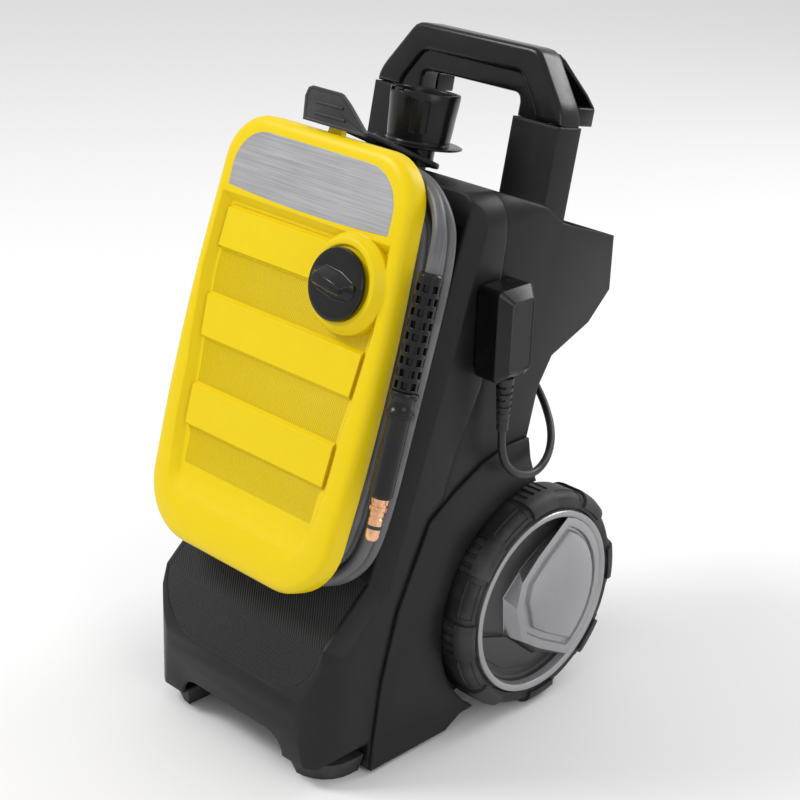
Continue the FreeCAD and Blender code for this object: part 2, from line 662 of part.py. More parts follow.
# ---------------------------------------------------------------- handle
def handle_grip():
    top, th, out, inn = GRIP_TOP, GRIP_TOP_HALF, POST_OUT, POST_IN
    d = POST_DEPTH / 2
    outer = [(-out, 0), (-out + 6, 17), (-th, top), (th, top), (out - 6, 17), (out, 0)]
    body = front_prism(outer, -d, d)
    inner = [(-inn, -1), (-inn, GRIP_UNDER - 6), (-inn + 6, GRIP_UNDER), (inn - 6, GRIP_UNDER),
             (inn, GRIP_UNDER - 6), (inn, -1)]
    body = body.cut(front_prism(inner, -d - 1, d + 1))
    for side in (-1, 1):
        x0, x1 = sorted((side * (inn + 2), side * (out - 6)))
        strut = side_prism([(d, 0), (d + 24, 0), (d + 24, 20), (d, GRIP_TOP - 6)], x0, x1)
        window = side_prism([(d + 2, 16), (d + 19, 21), (d + 2, GRIP_TOP - 16)], x0 - 9, x1 + 9)
        body = body.fuse(strut.cut(window))
    return placed(body.removeSplitter(), POST)


def handle_tubes():
    mid = (POST_IN + POST_OUT) / 2
    tube_solid = box(mid - TUBE_W / 2, mid + TUBE_W / 2, -TUBE_D / 2, TUBE_D / 2, -TUBE_BELOW, 0)
    hollow = box(mid - TUBE_W / 2 + 1.5, mid + TUBE_W / 2 - 1.5, -TUBE_D / 2 + 1.5,
                 TUBE_D / 2 - 1.5, -TUBE_BELOW - 1, -5)
    return both(placed(tube_solid.cut(hollow), POST))


# ---------------------------------------------------------------- wheels
def tyre_lug(index):
    """One raised block across the tread and down both side walls of the right tyre."""
    half = math.radians(LUG_TURN / 2)
    reach = 2 * WHEEL_R
    wedge = [(0, 0), (reach, -reach * math.tan(half)), (reach, reach * math.tan(half))]
    block = side_prism(wedge, WHEEL_OUT - TREAD, WHEEL_OUT)
    block.rotate(V(0, 0, 0), X_AXIS, LUG_FIRST + 360.0 / LUGS * index)
    block.translate(V(0, WHEEL_Y, WHEEL_R))
    return block.common(wheel_disc(WHEEL_R, WHEEL_OUT - TREAD, WHEEL_OUT))


def wheel_disc(r, x0, x1):
    return cyl(r, (x0, WHEEL_Y, WHEEL_R), (x1, WHEEL_Y, WHEEL_R))


def on_side(shape, side):
    return shape if side > 0 else mirrored(shape)


def wheel_tyre(side):
    inner = WHEEL_OUT - TREAD
    body = wheel_disc(TYRE_BASE_R, inner + LUG_PROUD, WHEEL_OUT - LUG_PROUD)
    body = fuse([body] + [tyre_lug(i) for i in range(LUGS)])
    body = body.cut(wheel_disc(RING_OUTER_R + 2, inner - 1, WHEEL_OUT + 1))
    return on_side(body, side)


def wheel_rim(side):
    x_in, x_out = WHEEL_OUT - TREAD, WHEEL_OUT - RING_THICK
    r = RING_OUTER_R + 2 - GAP
    body = wheel_disc(r, x_in, x_out).cut(wheel_disc(r - RIM_WALL, x_in + RIM_DISC, x_out + 1))
    body = body.fuse(wheel_disc(AXLE_R + 9, x_in, x_out - 8))
    body = body.cut(wheel_disc(AXLE_R + FIT, x_in - 1, x_out + 1))
    return on_side(body.removeSplitter(), side)


def cap_region(margin, x0, x1):
    """Part of the wheel's disc behind a bent edge line, drawn in from it by the margin."""
    line = [(WHEEL_Y + y + margin, WHEEL_R + z) for y, z in CAP_LINE]
    far = WHEEL_Y + 2 * WHEEL_R
    region = side_prism(line + [(far, line[-1][1]), (far, line[0][1])], x0, x1)
    return region.common(wheel_disc(RING_INNER_R - margin, x0, x1))


def hubcap(side):
    """Silver ring, deep dish inside it and the domed panel that fills most of the dish."""
    back, face = WHEEL_OUT - RING_THICK, WHEEL_OUT
    floor = face - DISH_DEPTH
    pan_r = RING_OUTER_R + 2 - RIM_WALL - 2 * GAP
    body = wheel_disc(RING_OUTER_R, back, face).fuse(wheel_disc(pan_r, floor - DISH_WALL, back))
    body = body.cut(wheel_disc(RING_INNER_R, floor, face + 1))
    body = body.fuse(cap_region(0, floor - 1, face))
    ball_r = RING_INNER_R ** 2 / (2 * HUB_BULGE)
    ball = Part.makeSphere(ball_r, V(face + HUB_BULGE - ball_r, WHEEL_Y, WHEEL_R))
    dome = cap_region(12, face - 1, face + HUB_BULGE + 1).common(ball)
    body = body.fuse(dome).removeSplitter()
    room = wheel_disc(HUB_ROOM_R, floor - DISH_WALL - 1, face - DISH_WALL)
    body = body.cut(room.common(cap_region(DISH_WALL, floor - DISH_WALL - 1, face)))
    return on_side(body.cut(wheel_disc(AXLE_R + 10, floor - 5, face - DISH_WALL)), side)


def axle():
    end = WHEEL_OUT - 5
    return cyl(AXLE_R, (-end, WHEEL_Y, WHEEL_R), (end, WHEEL_Y, WHEEL_R))


def wheel_clips():
    x0 = WHEEL_OUT - 16 + GAP
    clip = cyl(AXLE_R + 7, (x0, WHEEL_Y, WHEEL_R), (x0 + 3, WHEEL_Y, WHEEL_R))
    return both(clip.cut(cyl(AXLE_R, (x0 - 1, WHEEL_Y, WHEEL_R), (x0 + 4, WHEEL_Y, WHEEL_R))))


# ---------------------------------------------------------------- motor and pump
def motor_axis(r, z0, z1):
    return cyl(r, (0, MOTOR_Y, z0), (0, MOTOR_Y, z1))


def motor_housing():
    body = motor_axis(MOTOR_R, MOTOR_LOW, MOTOR_HIGH - CAP_H)
    floor_z = MOTOR_LOW + 14
    body = body.cut(motor_axis(MOTOR_R - 4, floor_z, MOTOR_HIGH))
    body = body.cut(motor_axis(BEARING_R, MOTOR_LOW + 4, floor_z + 1))
    return body.cut(motor_axis(SHAFT_R + 2, MOTOR_LOW - 1, floor_z))


def motor_stator():
    low, high = MOTOR_LOW + 34, MOTOR_HIGH - CAP_H - 24
    return motor_axis(MOTOR_R - 4, low, high).cut(motor_axis(ROTOR_R + 1, low - 1, high + 1))


def motor_end_cap():
    low = MOTOR_HIGH - CAP_H
    cap = motor_axis(MOTOR_R, low, MOTOR_HIGH)
    cap = cap.cut(motor_axis(BEARING_R, low - 1, low + BEARING_H))
    return cap.cut(motor_axis(SHAFT_R + 2, low, MOTOR_HIGH + 1))


def motor_bearings():
    rings = []
    for low in (MOTOR_LOW + 4, MOTOR_HIGH - CAP_H):
        ring = motor_axis(BEARING_R, low, low + BEARING_H)
        rings.append(ring.cut(motor_axis(SHAFT_R + FIT, low - 1, low + BEARING_H + 1)))
    return Part.makeCompound(rings)


def motor_rotor():
    low, high = MOTOR_LOW + 34, MOTOR_HIGH - CAP_H - 24
    return motor_axis(SHAFT_R, MOTOR_LOW - 26, MOTOR_HIGH + FAN_H).fuse(
        motor_axis(ROTOR_R, low, high)).removeSplitter()


def cooling_fan():
    low = MOTOR_HIGH + 3
    hub = motor_axis(SHAFT_R + 6, low, low + FAN_H - 3)
    blades = [hub]
    for i in range(FAN_BLADES):
        blade = box(SHAFT_R + 4, MOTOR_R - 8, -1.2, 1.2, low, low + FAN_H - 3)
        blade.rotate(V(0, 0, 0), Z_AXIS, 360.0 / FAN_BLADES * i)
        blade.translate(V(0, MOTOR_Y, 0))
        blades.append(blade)
    return fuse(blades).cut(motor_axis(SHAFT_R, low - 1, low + FAN_H))


def wobble_plate():
    """Slanted disc on the lower end of the motor shaft that drives the pistons."""
    disc = Part.makeCylinder(PISTON_CIRCLE + 8, 9, V(0, 0, -4.5))
    disc.rotate(V(0, 0, 0), X_AXIS, PLATE_TILT)
    disc.translate(V(0, MOTOR_Y, PLATE_LOW + 10))
    return disc.cut(motor_axis(SHAFT_R, PLATE_LOW - 20, PLATE_LOW + 40))


def gear_housing():
    body = motor_axis(PUMP_R, GUIDE_HIGH - 6, MOTOR_LOW)
    room = motor_axis(PISTON_CIRCLE + 13, GUIDE_HIGH, MOTOR_LOW + 1)
    return body.cut(room).cut(piston_bores(GAP))


def piston_spots():
    turns = [math.radians(a) for a in (90, 210, 330)]
    return [(PISTON_CIRCLE * math.cos(a), MOTOR_Y + PISTON_CIRCLE * math.sin(a)) for a in turns]


def piston_bores(clearance):
    bores = [cyl(PISTON_R + clearance, (x, y, PUMP_LOW + 24), (x, y, PLATE_LOW))
             for x, y in piston_spots()]
    return Part.makeCompound(bores)


def piston(index):
    x, y = piston_spots()[index]
    return cyl(PISTON_R, (x, y, GUIDE_HIGH - 44), (x, y, PLATE_LOW + 1.5))


def cylinder_block():
    body = motor_axis(PUMP_R, PUMP_LOW + 34, GUIDE_HIGH - 6)
    return body.cut(piston_bores(FIT))


def valve_head():
    body = motor_axis(PUMP_R, PUMP_LOW, PUMP_LOW + 34)
    body = body.cut(piston_bores(FIT))
    for side in (-1, 1):
        port = box(side * PORT_X - 13, side * PORT_X + 13, MOTOR_Y - 6, MOTOR_Y + 44, PUMP_LOW + 6,
                   PUMP_LOW + 32)
        body = body.fuse(port)
    return body.removeSplitter().cut(inlet_bore(1)).cut(inlet_bore(-1))


def inlet_bore(side):
    x = side * PORT_X
    return cyl(PIPE_R - 3, (x, MOTOR_Y + 10, PORT_Z), (x, MOTOR_Y + 60, PORT_Z))


def water_pipe(side):
    """Pipe from the valve head to the rear panel, on the inlet or the outlet side."""
    x = side * PORT_X
    pipe = cyl(PIPE_R, (x, MOTOR_Y + 44, PORT_Z), (x, FLANGE_Y, PORT_Z))
    return pipe.cut(cyl(PIPE_R - 3, (x, MOTOR_Y + 43, PORT_Z), (x, FLANGE_Y + 1, PORT_Z)))


def water_inlet():
    x, z = PORT_X, PORT_Z
    flange = cyl(COUPLING_R + 4, (x, FLANGE_Y, z), (x, FLANGE_Y + 4, z))
    nipple = cyl(COUPLING_R - 3, (x, FLANGE_Y + 4, z), (x, FLANGE_Y + 33, z))
    body = flange.fuse(nipple).cut(cyl(PIPE_R - 3, (x, FLANGE_Y - 1, z), (x, FLANGE_Y + 37, z)))
    return body.removeSplitter()


def inlet_filter():
    x, z = PORT_X, PORT_Z
    sieve = cyl(PIPE_R - 3.2, (x, FLANGE_Y + 11, z), (x, FLANGE_Y + 31, z))
    return sieve.cut(cyl(PIPE_R - 4.6, (x, FLANGE_Y + 10, z), (x, FLANGE_Y + 29, z)))


def pressure_outlet():
    x, z = -PORT_X, PORT_Z
    flange = cyl(COUPLING_R + 4, (x, FLANGE_Y, z), (x, FLANGE_Y + 4, z))
    barrel = cyl(COUPLING_R, (x, FLANGE_Y + 4, z), (x, FLANGE_Y + 29, z))
    body = flange.fuse(barrel).cut(cyl(OUTLET_R, (x, FLANGE_Y + 7, z), (x, FLANGE_Y + 37, z)))
    return body.cut(cyl(PIPE_R - 3, (x, FLANGE_Y - 1, z), (x, FLANGE_Y + 8, z))).removeSplitter()


def unloader_valve():
    body = cyl(11, (-PUMP_R - 26, MOTOR_Y, PUMP_LOW + 18), (-PUMP_R + 4, MOTOR_Y, PUMP_LOW + 18))
    return body.cut(motor_axis(PUMP_R, PUMP_LOW - 5, PUMP_LOW + 60)).cut(
        box(-PORT_X - 13, -PORT_X + 13, MOTOR_Y - 6, MOTOR_Y + 44, PUMP_LOW, PUMP_LOW + 40))


def motor_mounts():
    """Four rubber blocks that carry the pump on the floor of the base."""
    room = cavity()
    mounts = []
    for x, y in ((-24, -24), (24, -24), (-24, 20), (24, 20)):
        leg = cyl(9, (x, MOTOR_Y + y, GROUND_GAP), (x, MOTOR_Y + y, PUMP_LOW))
        mounts.append(leg.common(room))
    return Part.makeCompound(mounts)


def capacitor():
    x = MOTOR_R + 18 + GAP
    return cyl(18, (x, MOTOR_Y, MOTOR_LOW + 20), (x, MOTOR_Y, MOTOR_LOW + 90))


# ---------------------------------------------------------------- mains lead
def plug_holder():
    """Socket plate on the side of the housing that parks the plug."""
    return box(HALF_WIDTH, HALF_WIDTH + HOLDER_PLATE, PLUG_Y - 20, PLUG_Y + 20,
               PLUG_LOW + 8, PLUG_HIGH - 8)


def mains_plug():
    body = box(HALF_WIDTH + HOLDER_PLATE, PLUG_OUT, PLUG_Y - 24, PLUG_Y + 24, PLUG_LOW, PLUG_HIGH)
    rim = [e for e in body.Edges if e.BoundBox.XMin > PLUG_OUT - 0.01]
    return body.makeChamfer(9, rim)


def plug_boot():
    boot = Part.makeCone(5.5, 9, BOOT, V(PLUG_X, PLUG_Y, PLUG_LOW - BOOT))
    for i in range(7):
        base = V(PLUG_X, PLUG_Y, PLUG_LOW - BOOT + 5 + 7 * i)
        ring = Part.makeCylinder(12, 2.4, base).cut(Part.makeCylinder(5, 2.4, base))
        boot = boot.cut(ring)
    return boot


def mains_lead():
    return tube("mains_lead", LEAD_ROUTE, LEAD_D)


def wind_shape(half_x, half_z, y0, y1):
    reach = half_z - half_x
    mid = box(WIND_X - half_x, WIND_X + half_x, y0, y1, WIND_Z - reach, WIND_Z + reach)
    ends = [cyl(half_x, (WIND_X, y0, WIND_Z + s * reach), (WIND_X, y1, WIND_Z + s * reach))
            for s in (-1, 1)]
    return fuse([mid] + ends)


def lead_winding():
    """Outer shape of the lead wound round the two rear hooks."""
    outer = wind_shape(WIND_HALF_X, WIND_HALF_Z, WIND_Y0, WIND_Y1)
    inner = wind_shape(WIND_HALF_X - WIND_DEEP, WIND_HALF_Z - WIND_DEEP, WIND_Y0 - 1, WIND_Y1 + 1)
    return outer.cut(inner)


def hook_height(side):
    """Height of the upper (+1) or lower (-1) hook's arm, just inside the winding."""
    return WIND_Z + side * (WIND_HALF_Z - WIND_DEEP - HOOK_R - GAP)


def hook_shape(side, y0):
    z = hook_height(side)
    arm = cyl(HOOK_R, (WIND_X, y0, z), (WIND_X, HOOK_Y, z))
    z0, z1 = sorted((z, z + side * 46))
    lip = box(WIND_X - 9, WIND_X + 9, WIND_Y1 + GAP, HOOK_Y, z0, z1)
    return arm.fuse(lip).removeSplitter()


def hook_pin():
    """Pin on the rear wall that the lower hook turns on."""
    z = hook_height(-1)
    return cyl(5, (WIND_X, WAIST_Y + 2, z), (WIND_X, WAIST_Y + 44, z)).cut(cavity())


def lead_hook_upper():
    whole = side_prism(outline(), -HALF_WIDTH, HALF_WIDTH)
    return hook_shape(1, WAIST_Y + 10).cut(whole)


def lead_hook_lower():
    z = hook_height(-1)
    y0 = WAIST_Y + 9
    hook = hook_shape(-1, y0)
    return hook.cut(cyl(5 + FIT, (WIND_X, y0 - 1, z), (WIND_X, WAIST_Y + 45, z)))


def lead_gland():
    """Tapered strain relief from the rear wall to the start of the winding."""
    z = WIND_Z
    x = WIND_X + WIND_HALF_X - LEAD_D
    start = WAIST_Y + 10
    relief = Part.makeCone(9, 5.5, WIND_Y0 - start, V(x, start, z), V(0, 1, 0))
    whole = side_prism(outline(), -HALF_WIDTH, HALF_WIDTH)
    return relief.cut(whole)


def build():
    nodes = {
        "front_housing": front_housing(),
        "textured_front_panel": textured_front_panel(),
        "rear_housing": rear_housing(),
        "base_shell": base_shell(),
        "foot_pads": foot_pads(),
        "front_cover": front_cover(),
        "badge_plate": badge_plate(),
        "hose_spool_core": spool_core(),
        "switch_unit": switch_unit(),
        "switch_shaft": switch_shaft(),
        "switch_knob": switch_knob(),
        "cover_screws": cover_screws(),
        "hose_coil": hose_coil(),
        "hose_tail": hose_tail(),
        "bend_sleeve": bend_sleeve(),
        "connector_sleeve": connector_sleeve(),
        "brass_nipple": brass_nipple(),
        "nipple_ring": nipple_ring(),
        "lance_holder": lance_holder(),
        "band_tab": band_tab(),
        "band_loop": band_loop(),
        "handle_grip": handle_grip(),
        "handle_tubes": handle_tubes(),
        "axle": axle(),
        "wheel_clips": wheel_clips(),
        "motor_housing": motor_housing(),
        "motor_stator": motor_stator(),
        "motor_end_cap": motor_end_cap(),
        "motor_bearings": motor_bearings(),
        "motor_rotor": motor_rotor(),
        "cooling_fan": cooling_fan(),
        "wobble_plate": wobble_plate(),
        "gear_housing": gear_housing(),
        "cylinder_block": cylinder_block(),
        "valve_head": valve_head(),
        "water_inlet": water_inlet(),
        "inlet_filter": inlet_filter(),
        "pressure_outlet": pressure_outlet(),
        "unloader_valve": unloader_valve(),
        "motor_mounts": motor_mounts(),
        "capacitor": capacitor(),
        "plug_holder": plug_holder(),
        "mains_plug": mains_plug(),
        "plug_boot": plug_boot(),
        "mains_lead": mains_lead(),
        "lead_winding": lead_winding(),
        "lead_gland": lead_gland(),
        "lead_hook_upper": lead_hook_upper(),
        "lead_hook_lower": lead_hook_lower(),
        "water_pipes": Part.makeCompound([water_pipe(1), water_pipe(-1)]),
    }
    for name, side in (("left", -1), ("right", 1)):
        nodes["tyre_" + name] = wheel_tyre(side)
        nodes["wheel_rim_" + name] = wheel_rim(side)
        nodes["hubcap_" + name] = hubcap(side)
    for i in range(3):
        nodes["piston_%d" % (i + 1)] = piston(i)
    return nodes


os.makedirs("parts", exist_ok=True)
for node, shape in build().items():
    shape.exportStep("parts/%s.step" % node)
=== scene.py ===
"""Looks of a wheeled pressure washer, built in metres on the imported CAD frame.

Front is -Y, up is +Z. Pieces of the hose cover are modelled flat, in the cover's own frame, and
pieces of the hose end along their own axis; each is then laid in its place.
"""
import json
import math

import bpy
from mathutils import Matrix, Vector


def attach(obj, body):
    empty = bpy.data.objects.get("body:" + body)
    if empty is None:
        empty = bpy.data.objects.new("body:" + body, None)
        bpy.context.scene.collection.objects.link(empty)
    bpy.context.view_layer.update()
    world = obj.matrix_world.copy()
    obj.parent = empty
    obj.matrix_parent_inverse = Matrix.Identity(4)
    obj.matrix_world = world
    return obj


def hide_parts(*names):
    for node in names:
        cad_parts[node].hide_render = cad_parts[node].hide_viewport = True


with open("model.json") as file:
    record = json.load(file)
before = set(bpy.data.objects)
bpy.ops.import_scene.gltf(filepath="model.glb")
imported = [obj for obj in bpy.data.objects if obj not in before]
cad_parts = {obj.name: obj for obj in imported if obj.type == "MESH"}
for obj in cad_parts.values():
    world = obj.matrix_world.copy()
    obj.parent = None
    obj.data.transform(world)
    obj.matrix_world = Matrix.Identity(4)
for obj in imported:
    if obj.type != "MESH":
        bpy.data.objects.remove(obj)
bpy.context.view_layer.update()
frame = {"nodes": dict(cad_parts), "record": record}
NODES = frame["nodes"]
MM = 0.001

# frames of the leaning parts
COVER_LEAN = math.radians(17)
POST_LEAN = math.radians(10.8)
COVER = Matrix.Translation((0, -0.1136, 0.5368)) @ Matrix.Rotation(math.pi / 2 - COVER_LEAN, 4, "X")

# turns a piece that is modelled flat so that its own Z runs across the machine and its Y up
ACROSS = Matrix(((0, 0, 1, 0), (1, 0, 0, 0), (0, 1, 0, 0), (0, 0, 0, 1)))

# wound hose, in millimetres in the cover's frame
HOSE = 12.5
HOSE_HALF, HOSE_TOP, HOSE_BOTTOM = 140.0, 62.0, -346.0
HOSE_CORNER = 85.0
HOSE_FRONT = -26.0
HOSE_ROWS = HOSE_COLUMNS = 3
HOSE_TAIL = [(72, 53.5, -32), (100, 52, -31), (123, 42.6, -28), (140.2, 25.1, -22.5), (149.3, 3.4, -18),
             (150, -22, -18)]

# wound mains lead, in millimetres
LEAD = 8.0
WINDING_X, WINDING_Z, WINDING_Y = -50.0, 336.0, 150.0
WINDING_STRAIGHT = 10.0
WINDING_RADII = (30.0, 38.0, 46.0)
LEAD_COLUMNS, LEAD_LAST_ROW = 6, 5
LEAD_ROUTE = [(-17, 186, 379), (-2, 180, 364), (22, 168, 342), (48, 152, 331), (76, 138, 321),
              (104, 124, 308), (130, 106, 291), (146, 82, 275), (152, 52, 268), (152, 22, 279),
              (150.25, 4, 303), (150.25, 4, 330)]


# ---------------------------------------------------------------- modelling by hand
def rest():
    """Leaves edit mode with nothing selected."""
    if bpy.context.object and bpy.context.object.mode != "OBJECT":
        bpy.ops.object.mode_set(mode="OBJECT")
    bpy.ops.object.select_all(action="DESELECT")


def take(piece):
    """Makes this the one selected and active object."""
    rest()
    piece.select_set(True)
    bpy.context.view_layer.objects.active = piece


def finish_modifier(piece, kind, **settings):
    """Adds a modifier to a piece and applies it."""
    take(piece)
    modifier = piece.modifiers.new(kind.title(), kind)
    for key, value in settings.items():
        setattr(modifier, key, value)
    bpy.ops.object.modifier_apply(modifier=modifier.name)


def smooth(piece, degrees=35):
    take(piece)
    bpy.ops.object.shade_smooth_by_angle(angle=math.radians(degrees))


def tidy_mesh(reach=0.02 * MM):
    """In edit mode: merges what coincides and turns every face outwards."""
    bpy.ops.mesh.select_all(action="SELECT")
    bpy.ops.mesh.remove_doubles(threshold=reach)
    bpy.ops.mesh.normals_make_consistent(inside=False)


def pick(piece, kind, test):
    """Selects the vertices, edges or faces whose place in millimetres and direction pass a test."""
    if bpy.context.object.mode != "OBJECT":
        bpy.ops.object.mode_set(mode="OBJECT")
    mesh = piece.data
    bpy.context.tool_settings.mesh_select_mode = [kind == k for k in ("VERT", "EDGE", "FACE")]
    for group in (mesh.vertices, mesh.edges, mesh.polygons):
        group.foreach_set("select", [False] * len(group))
    if kind == "VERT":
        for vertex in mesh.vertices:
            vertex.select = test(vertex.co / MM, vertex.normal)
    elif kind == "EDGE":
        for edge in mesh.edges:
            a, b = (mesh.vertices[i].co for i in edge.vertices)
            edge.select = test((a + b) / 2 / MM, (b - a).normalized())
    else:
        for face in mesh.polygons:
            face.select = test(face.center / MM, face.normal)
    bpy.ops.object.mode_set(mode="EDIT")


def move(x=0, y=0, z=0):
    bpy.ops.transform.translate(value=(x * MM, y * MM, z * MM))


def grow(x=1, y=1, z=1, centre=(0, 0, 0)):
    bpy.ops.transform.resize(value=(x, y, z), center_override=[c * MM for c in centre])


def raise_face(height):
    bpy.ops.mesh.extrude_region_move(TRANSFORM_OT_translate={"value": (0, 0, height * MM)})


def inset(width, rise=0.0, each=False):
    bpy.ops.mesh.inset(thickness=width * MM, depth=rise * MM, use_individual=each, use_even_offset=True)


def round_corners(width, segments, corners=False, profile=0.5):
    bpy.ops.mesh.bevel(offset=width * MM, offset_pct=0, segments=segments, profile=profile,
                       affect="VERTICES" if corners else "EDGES", clamp_overlap=True)


def added(operator, name, **settings):
    """Adds a primitive and opens it in edit mode with all of it selected."""
    rest()
    operator(**settings)
    piece = bpy.context.object
    piece.name = piece.data.name = name
    bpy.ops.object.mode_set(mode="EDIT")
    bpy.ops.mesh.select_all(action="SELECT")
    return piece


def line_drawn(name, points):
    """Chain of edges from point to point in millimetres, open in edit mode."""
    bpy.context.tool_settings.mesh_select_mode = (True, False, False)
    piece = added(bpy.ops.mesh.primitive_plane_add, name, size=1)
    bpy.ops.mesh.merge(type="CENTER")
    places = [Vector(p) * MM for p in points]
    bpy.ops.transform.translate(value=places[0])
    for before, after in zip(places, places[1:]):
        bpy.ops.mesh.extrude_vertices_move(TRANSFORM_OT_translate={"value": after - before})
    bpy.ops.mesh.select_all(action="SELECT")
    return piece


def outlined(name, points, height):
    """Flat face inside a closed line of (x, y) points."""
    piece = line_drawn(name, [(x, y, height) for x, y in list(points) + [points[0]]])
    bpy.ops.mesh.remove_doubles(threshold=0.02 * MM)
    bpy.ops.mesh.edge_face_add()
    return piece


def quarter_round(x, y, radius, start, step):
    """Points of a quarter circle round (x, y), from start on, each a step of whole degrees."""
    angles = [math.radians(a) for a in range(start, start + 91, step)]
    return [(x + radius * math.cos(a), y + radius * math.sin(a)) for a in angles]


def block(name, points, height, thickness):
    """Closed slab on an outline, open in edit mode with its top selected."""
    piece = outlined(name, points, height)
    raise_face(thickness)
    tidy_mesh()
    pick(piece, "FACE", lambda p, n: n.z > 0.9 and abs(p.z - height - thickness) < 0.1)
    return piece


def turned(name, profile, steps):
    """Turned solid from (radius, height) points about Z."""
    piece = line_drawn(name, [(r, 0, h) for r, h in profile])
    bpy.ops.mesh.spin(steps=steps, angle=2 * math.pi, center=(0, 0, 0), axis=(0, 0, 1))
    tidy_mesh()
    return piece


def drilled(piece, radius, low, high):
    """Cuts a round hole about Z through a piece."""
    drill = turned("drill", [(0, low), (radius, low), (radius, high), (0, high)], 48)
    rest()
    finish_modifier(piece, "BOOLEAN", operation="DIFFERENCE", object=drill, solver="EXACT")
    bpy.data.objects.remove(drill)


def joined(first, *others):
    take(first)
    for other in others:
        other.select_set(True)
    bpy.ops.object.join()
    return first


def mirror_copy(piece, name):
    """Mirror image across the machine, with its own mesh."""
    take(piece)
    bpy.ops.object.duplicate()
    copy = bpy.context.object
    copy.name = copy.data.name = name
    copy.data.transform(Matrix.Scale(-1, 4, (1, 0, 0)))
    bpy.ops.object.mode_set(mode="EDIT")
    bpy.ops.mesh.select_all(action="SELECT")
    bpy.ops.mesh.flip_normals()
    rest()
    return copy


def laid(piece, frame_matrix):
    """Applies a piece's place and lays it in its frame; its object stays at the origin."""
    take(piece)
    bpy.ops.object.transform_apply(location=True, rotation=True, scale=True)
    piece.data.transform(frame_matrix)
    return piece


def dressed(piece, body, finishes, slot, *stands_for):
    """Gives a piece its finishes and its body, and hides the CAD nodes that it stands for; slot is not used.
    """
    for finish in finishes:
        piece.data.materials.append(finish)
    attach(piece, body)
    if stands_for:
        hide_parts(*stands_for)
    return piece


# ---------------------------------------------------------------- finishes
class Value:
    """A value that runs through a material; arithmetic on it adds Math nodes."""

    def __init__(self, finish, socket):
        self.finish, self.socket = finish, socket

    def __add__(self, other):
        return self.finish.math("ADD", self, other)

    __radd__ = __add__

    def __sub__(self, other):
        return self.finish.math("SUBTRACT", self, other)

    def __rsub__(self, other):
        return self.finish.math("SUBTRACT", other, self)

    def __mul__(self, other):
        return self.finish.math("MULTIPLY", self, other)

    __rmul__ = __mul__


class Finish:
    """A procedural material, built round its Principled shader."""

    def __init__(self, name, **constants):
        self.material = bpy.data.materials.new(name)
        self.material.use_nodes = True
        self.tree = self.material.node_tree
        self.shader = self.tree.nodes["Principled BSDF"]
        for socket, value in constants.items():
            self.shader.inputs[socket.replace("_", " ").title().replace("Ior", "IOR")].default_value = value
        self.place = self.node("ShaderNodeTexCoord", output="Object")

    def node(self, kind, settings=None, inputs=None, output=0):
        """Adds a node, makes its settings, then feeds its sockets with values or links."""
        made = self.tree.nodes.new(kind)
        for key, value in (settings or {}).items():
            setattr(made, key, value)
        for key, value in (inputs or {}).items():
            if isinstance(value, Value):
                self.tree.links.new(value.socket, made.inputs[key])
            else:
                made.inputs[key].default_value = value
        return Value(self, made.outputs[output])

    def math(self, operation, first, second=0.0):
        return self.node("ShaderNodeMath", {"operation": operation}, {0: first, 1: second})

    def feed(self, socket, value):
        self.tree.links.new(value.socket, self.shader.inputs[socket])

    def stretched(self, scale):
        """Object coordinates multiplied along each axis."""
        return self.node("ShaderNodeMapping", None, {"Vector": self.place, "Scale": scale})

    def axes(self):
        parts = self.node("ShaderNodeSeparateXYZ", None, {0: self.place})
        return [Value(self, socket) for socket in parts.socket.node.outputs]

    def noise(self, scale, detail=3.0, vector=None):
        return self.node("ShaderNodeTexNoise", None,
                         {"Vector": vector or self.place, "Scale": scale, "Detail": detail})

    def between(self, value, low, high):
        """Zero below low, one above high, smooth between."""
        return self.node("ShaderNodeMapRange", {"interpolation_type": "SMOOTHSTEP"},
                         {"Value": value, "From Min": low, "From Max": high})

    def mix(self, share, first, second):
        """Colour between two colours."""
        made = self.tree.nodes.new("ShaderNodeMix")
        made.data_type = "RGBA"
        for socket, value in zip((made.inputs[0], made.inputs[6], made.inputs[7]), (share, first, second)):
            if isinstance(value, Value):
                self.tree.links.new(value.socket, socket)
            else:
                socket.default_value = (*value, 1) if isinstance(value, tuple) else value
        return Value(self, made.outputs[2])

    def rounded_edges(self, radius):
        """Normal that rounds sharp edges, and how near an edge each place is."""
        soft = self.node("ShaderNodeBevel", {"samples": 4}, {"Radius": radius})
        flat = self.node("ShaderNodeNewGeometry", output="Normal")
        along = self.node("ShaderNodeVectorMath", {"operation": "DOT_PRODUCT"}, {0: soft, 1: flat},
                          output="Value")
        return soft, self.between(1 - along, 0.02, 0.22)

    def relief(self, height, depth, normal=None):
        """Bumps the surface by height times depth."""
        inputs = {"Height": height, "Distance": depth, "Strength": 1.0}
        if normal:
            inputs["Normal"] = normal
        bump = self.node("ShaderNodeBump", None, inputs)
        self.feed("Normal", bump)


def moulded(name, colour, worn_tone_and_painted_rib_shading, roughness, grain=0.00006, edge=0.0012, specular=0.5):
    """Moulded plastic: fine spark-eroded grain, faint flow marks and slightly polished edges."""
    finish = Finish(name, specular_ior_level=specular)
    flow = finish.noise(9.0, 4.0)
    grit = finish.noise(1500.0, 2.0)
    dust = finish.between(finish.noise(55.0, 5.0), 0.45, 0.75)
    soft, near_edge = finish.rounded_edges(edge)
    share = finish.math("MINIMUM", near_edge * 0.55 + dust * 0.18 + flow * 0.25, 1.0)
    finish.feed("Base Color", finish.mix(share, colour, worn_tone_and_painted_rib_shading))
    finish.feed("Roughness", roughness + (flow - 0.5) * 0.12 + dust * 0.05 + (grit - 0.5) * 0.08)
    finish.relief(grit * 0.8 + flow * 0.2, grain, soft)
    return finish.material


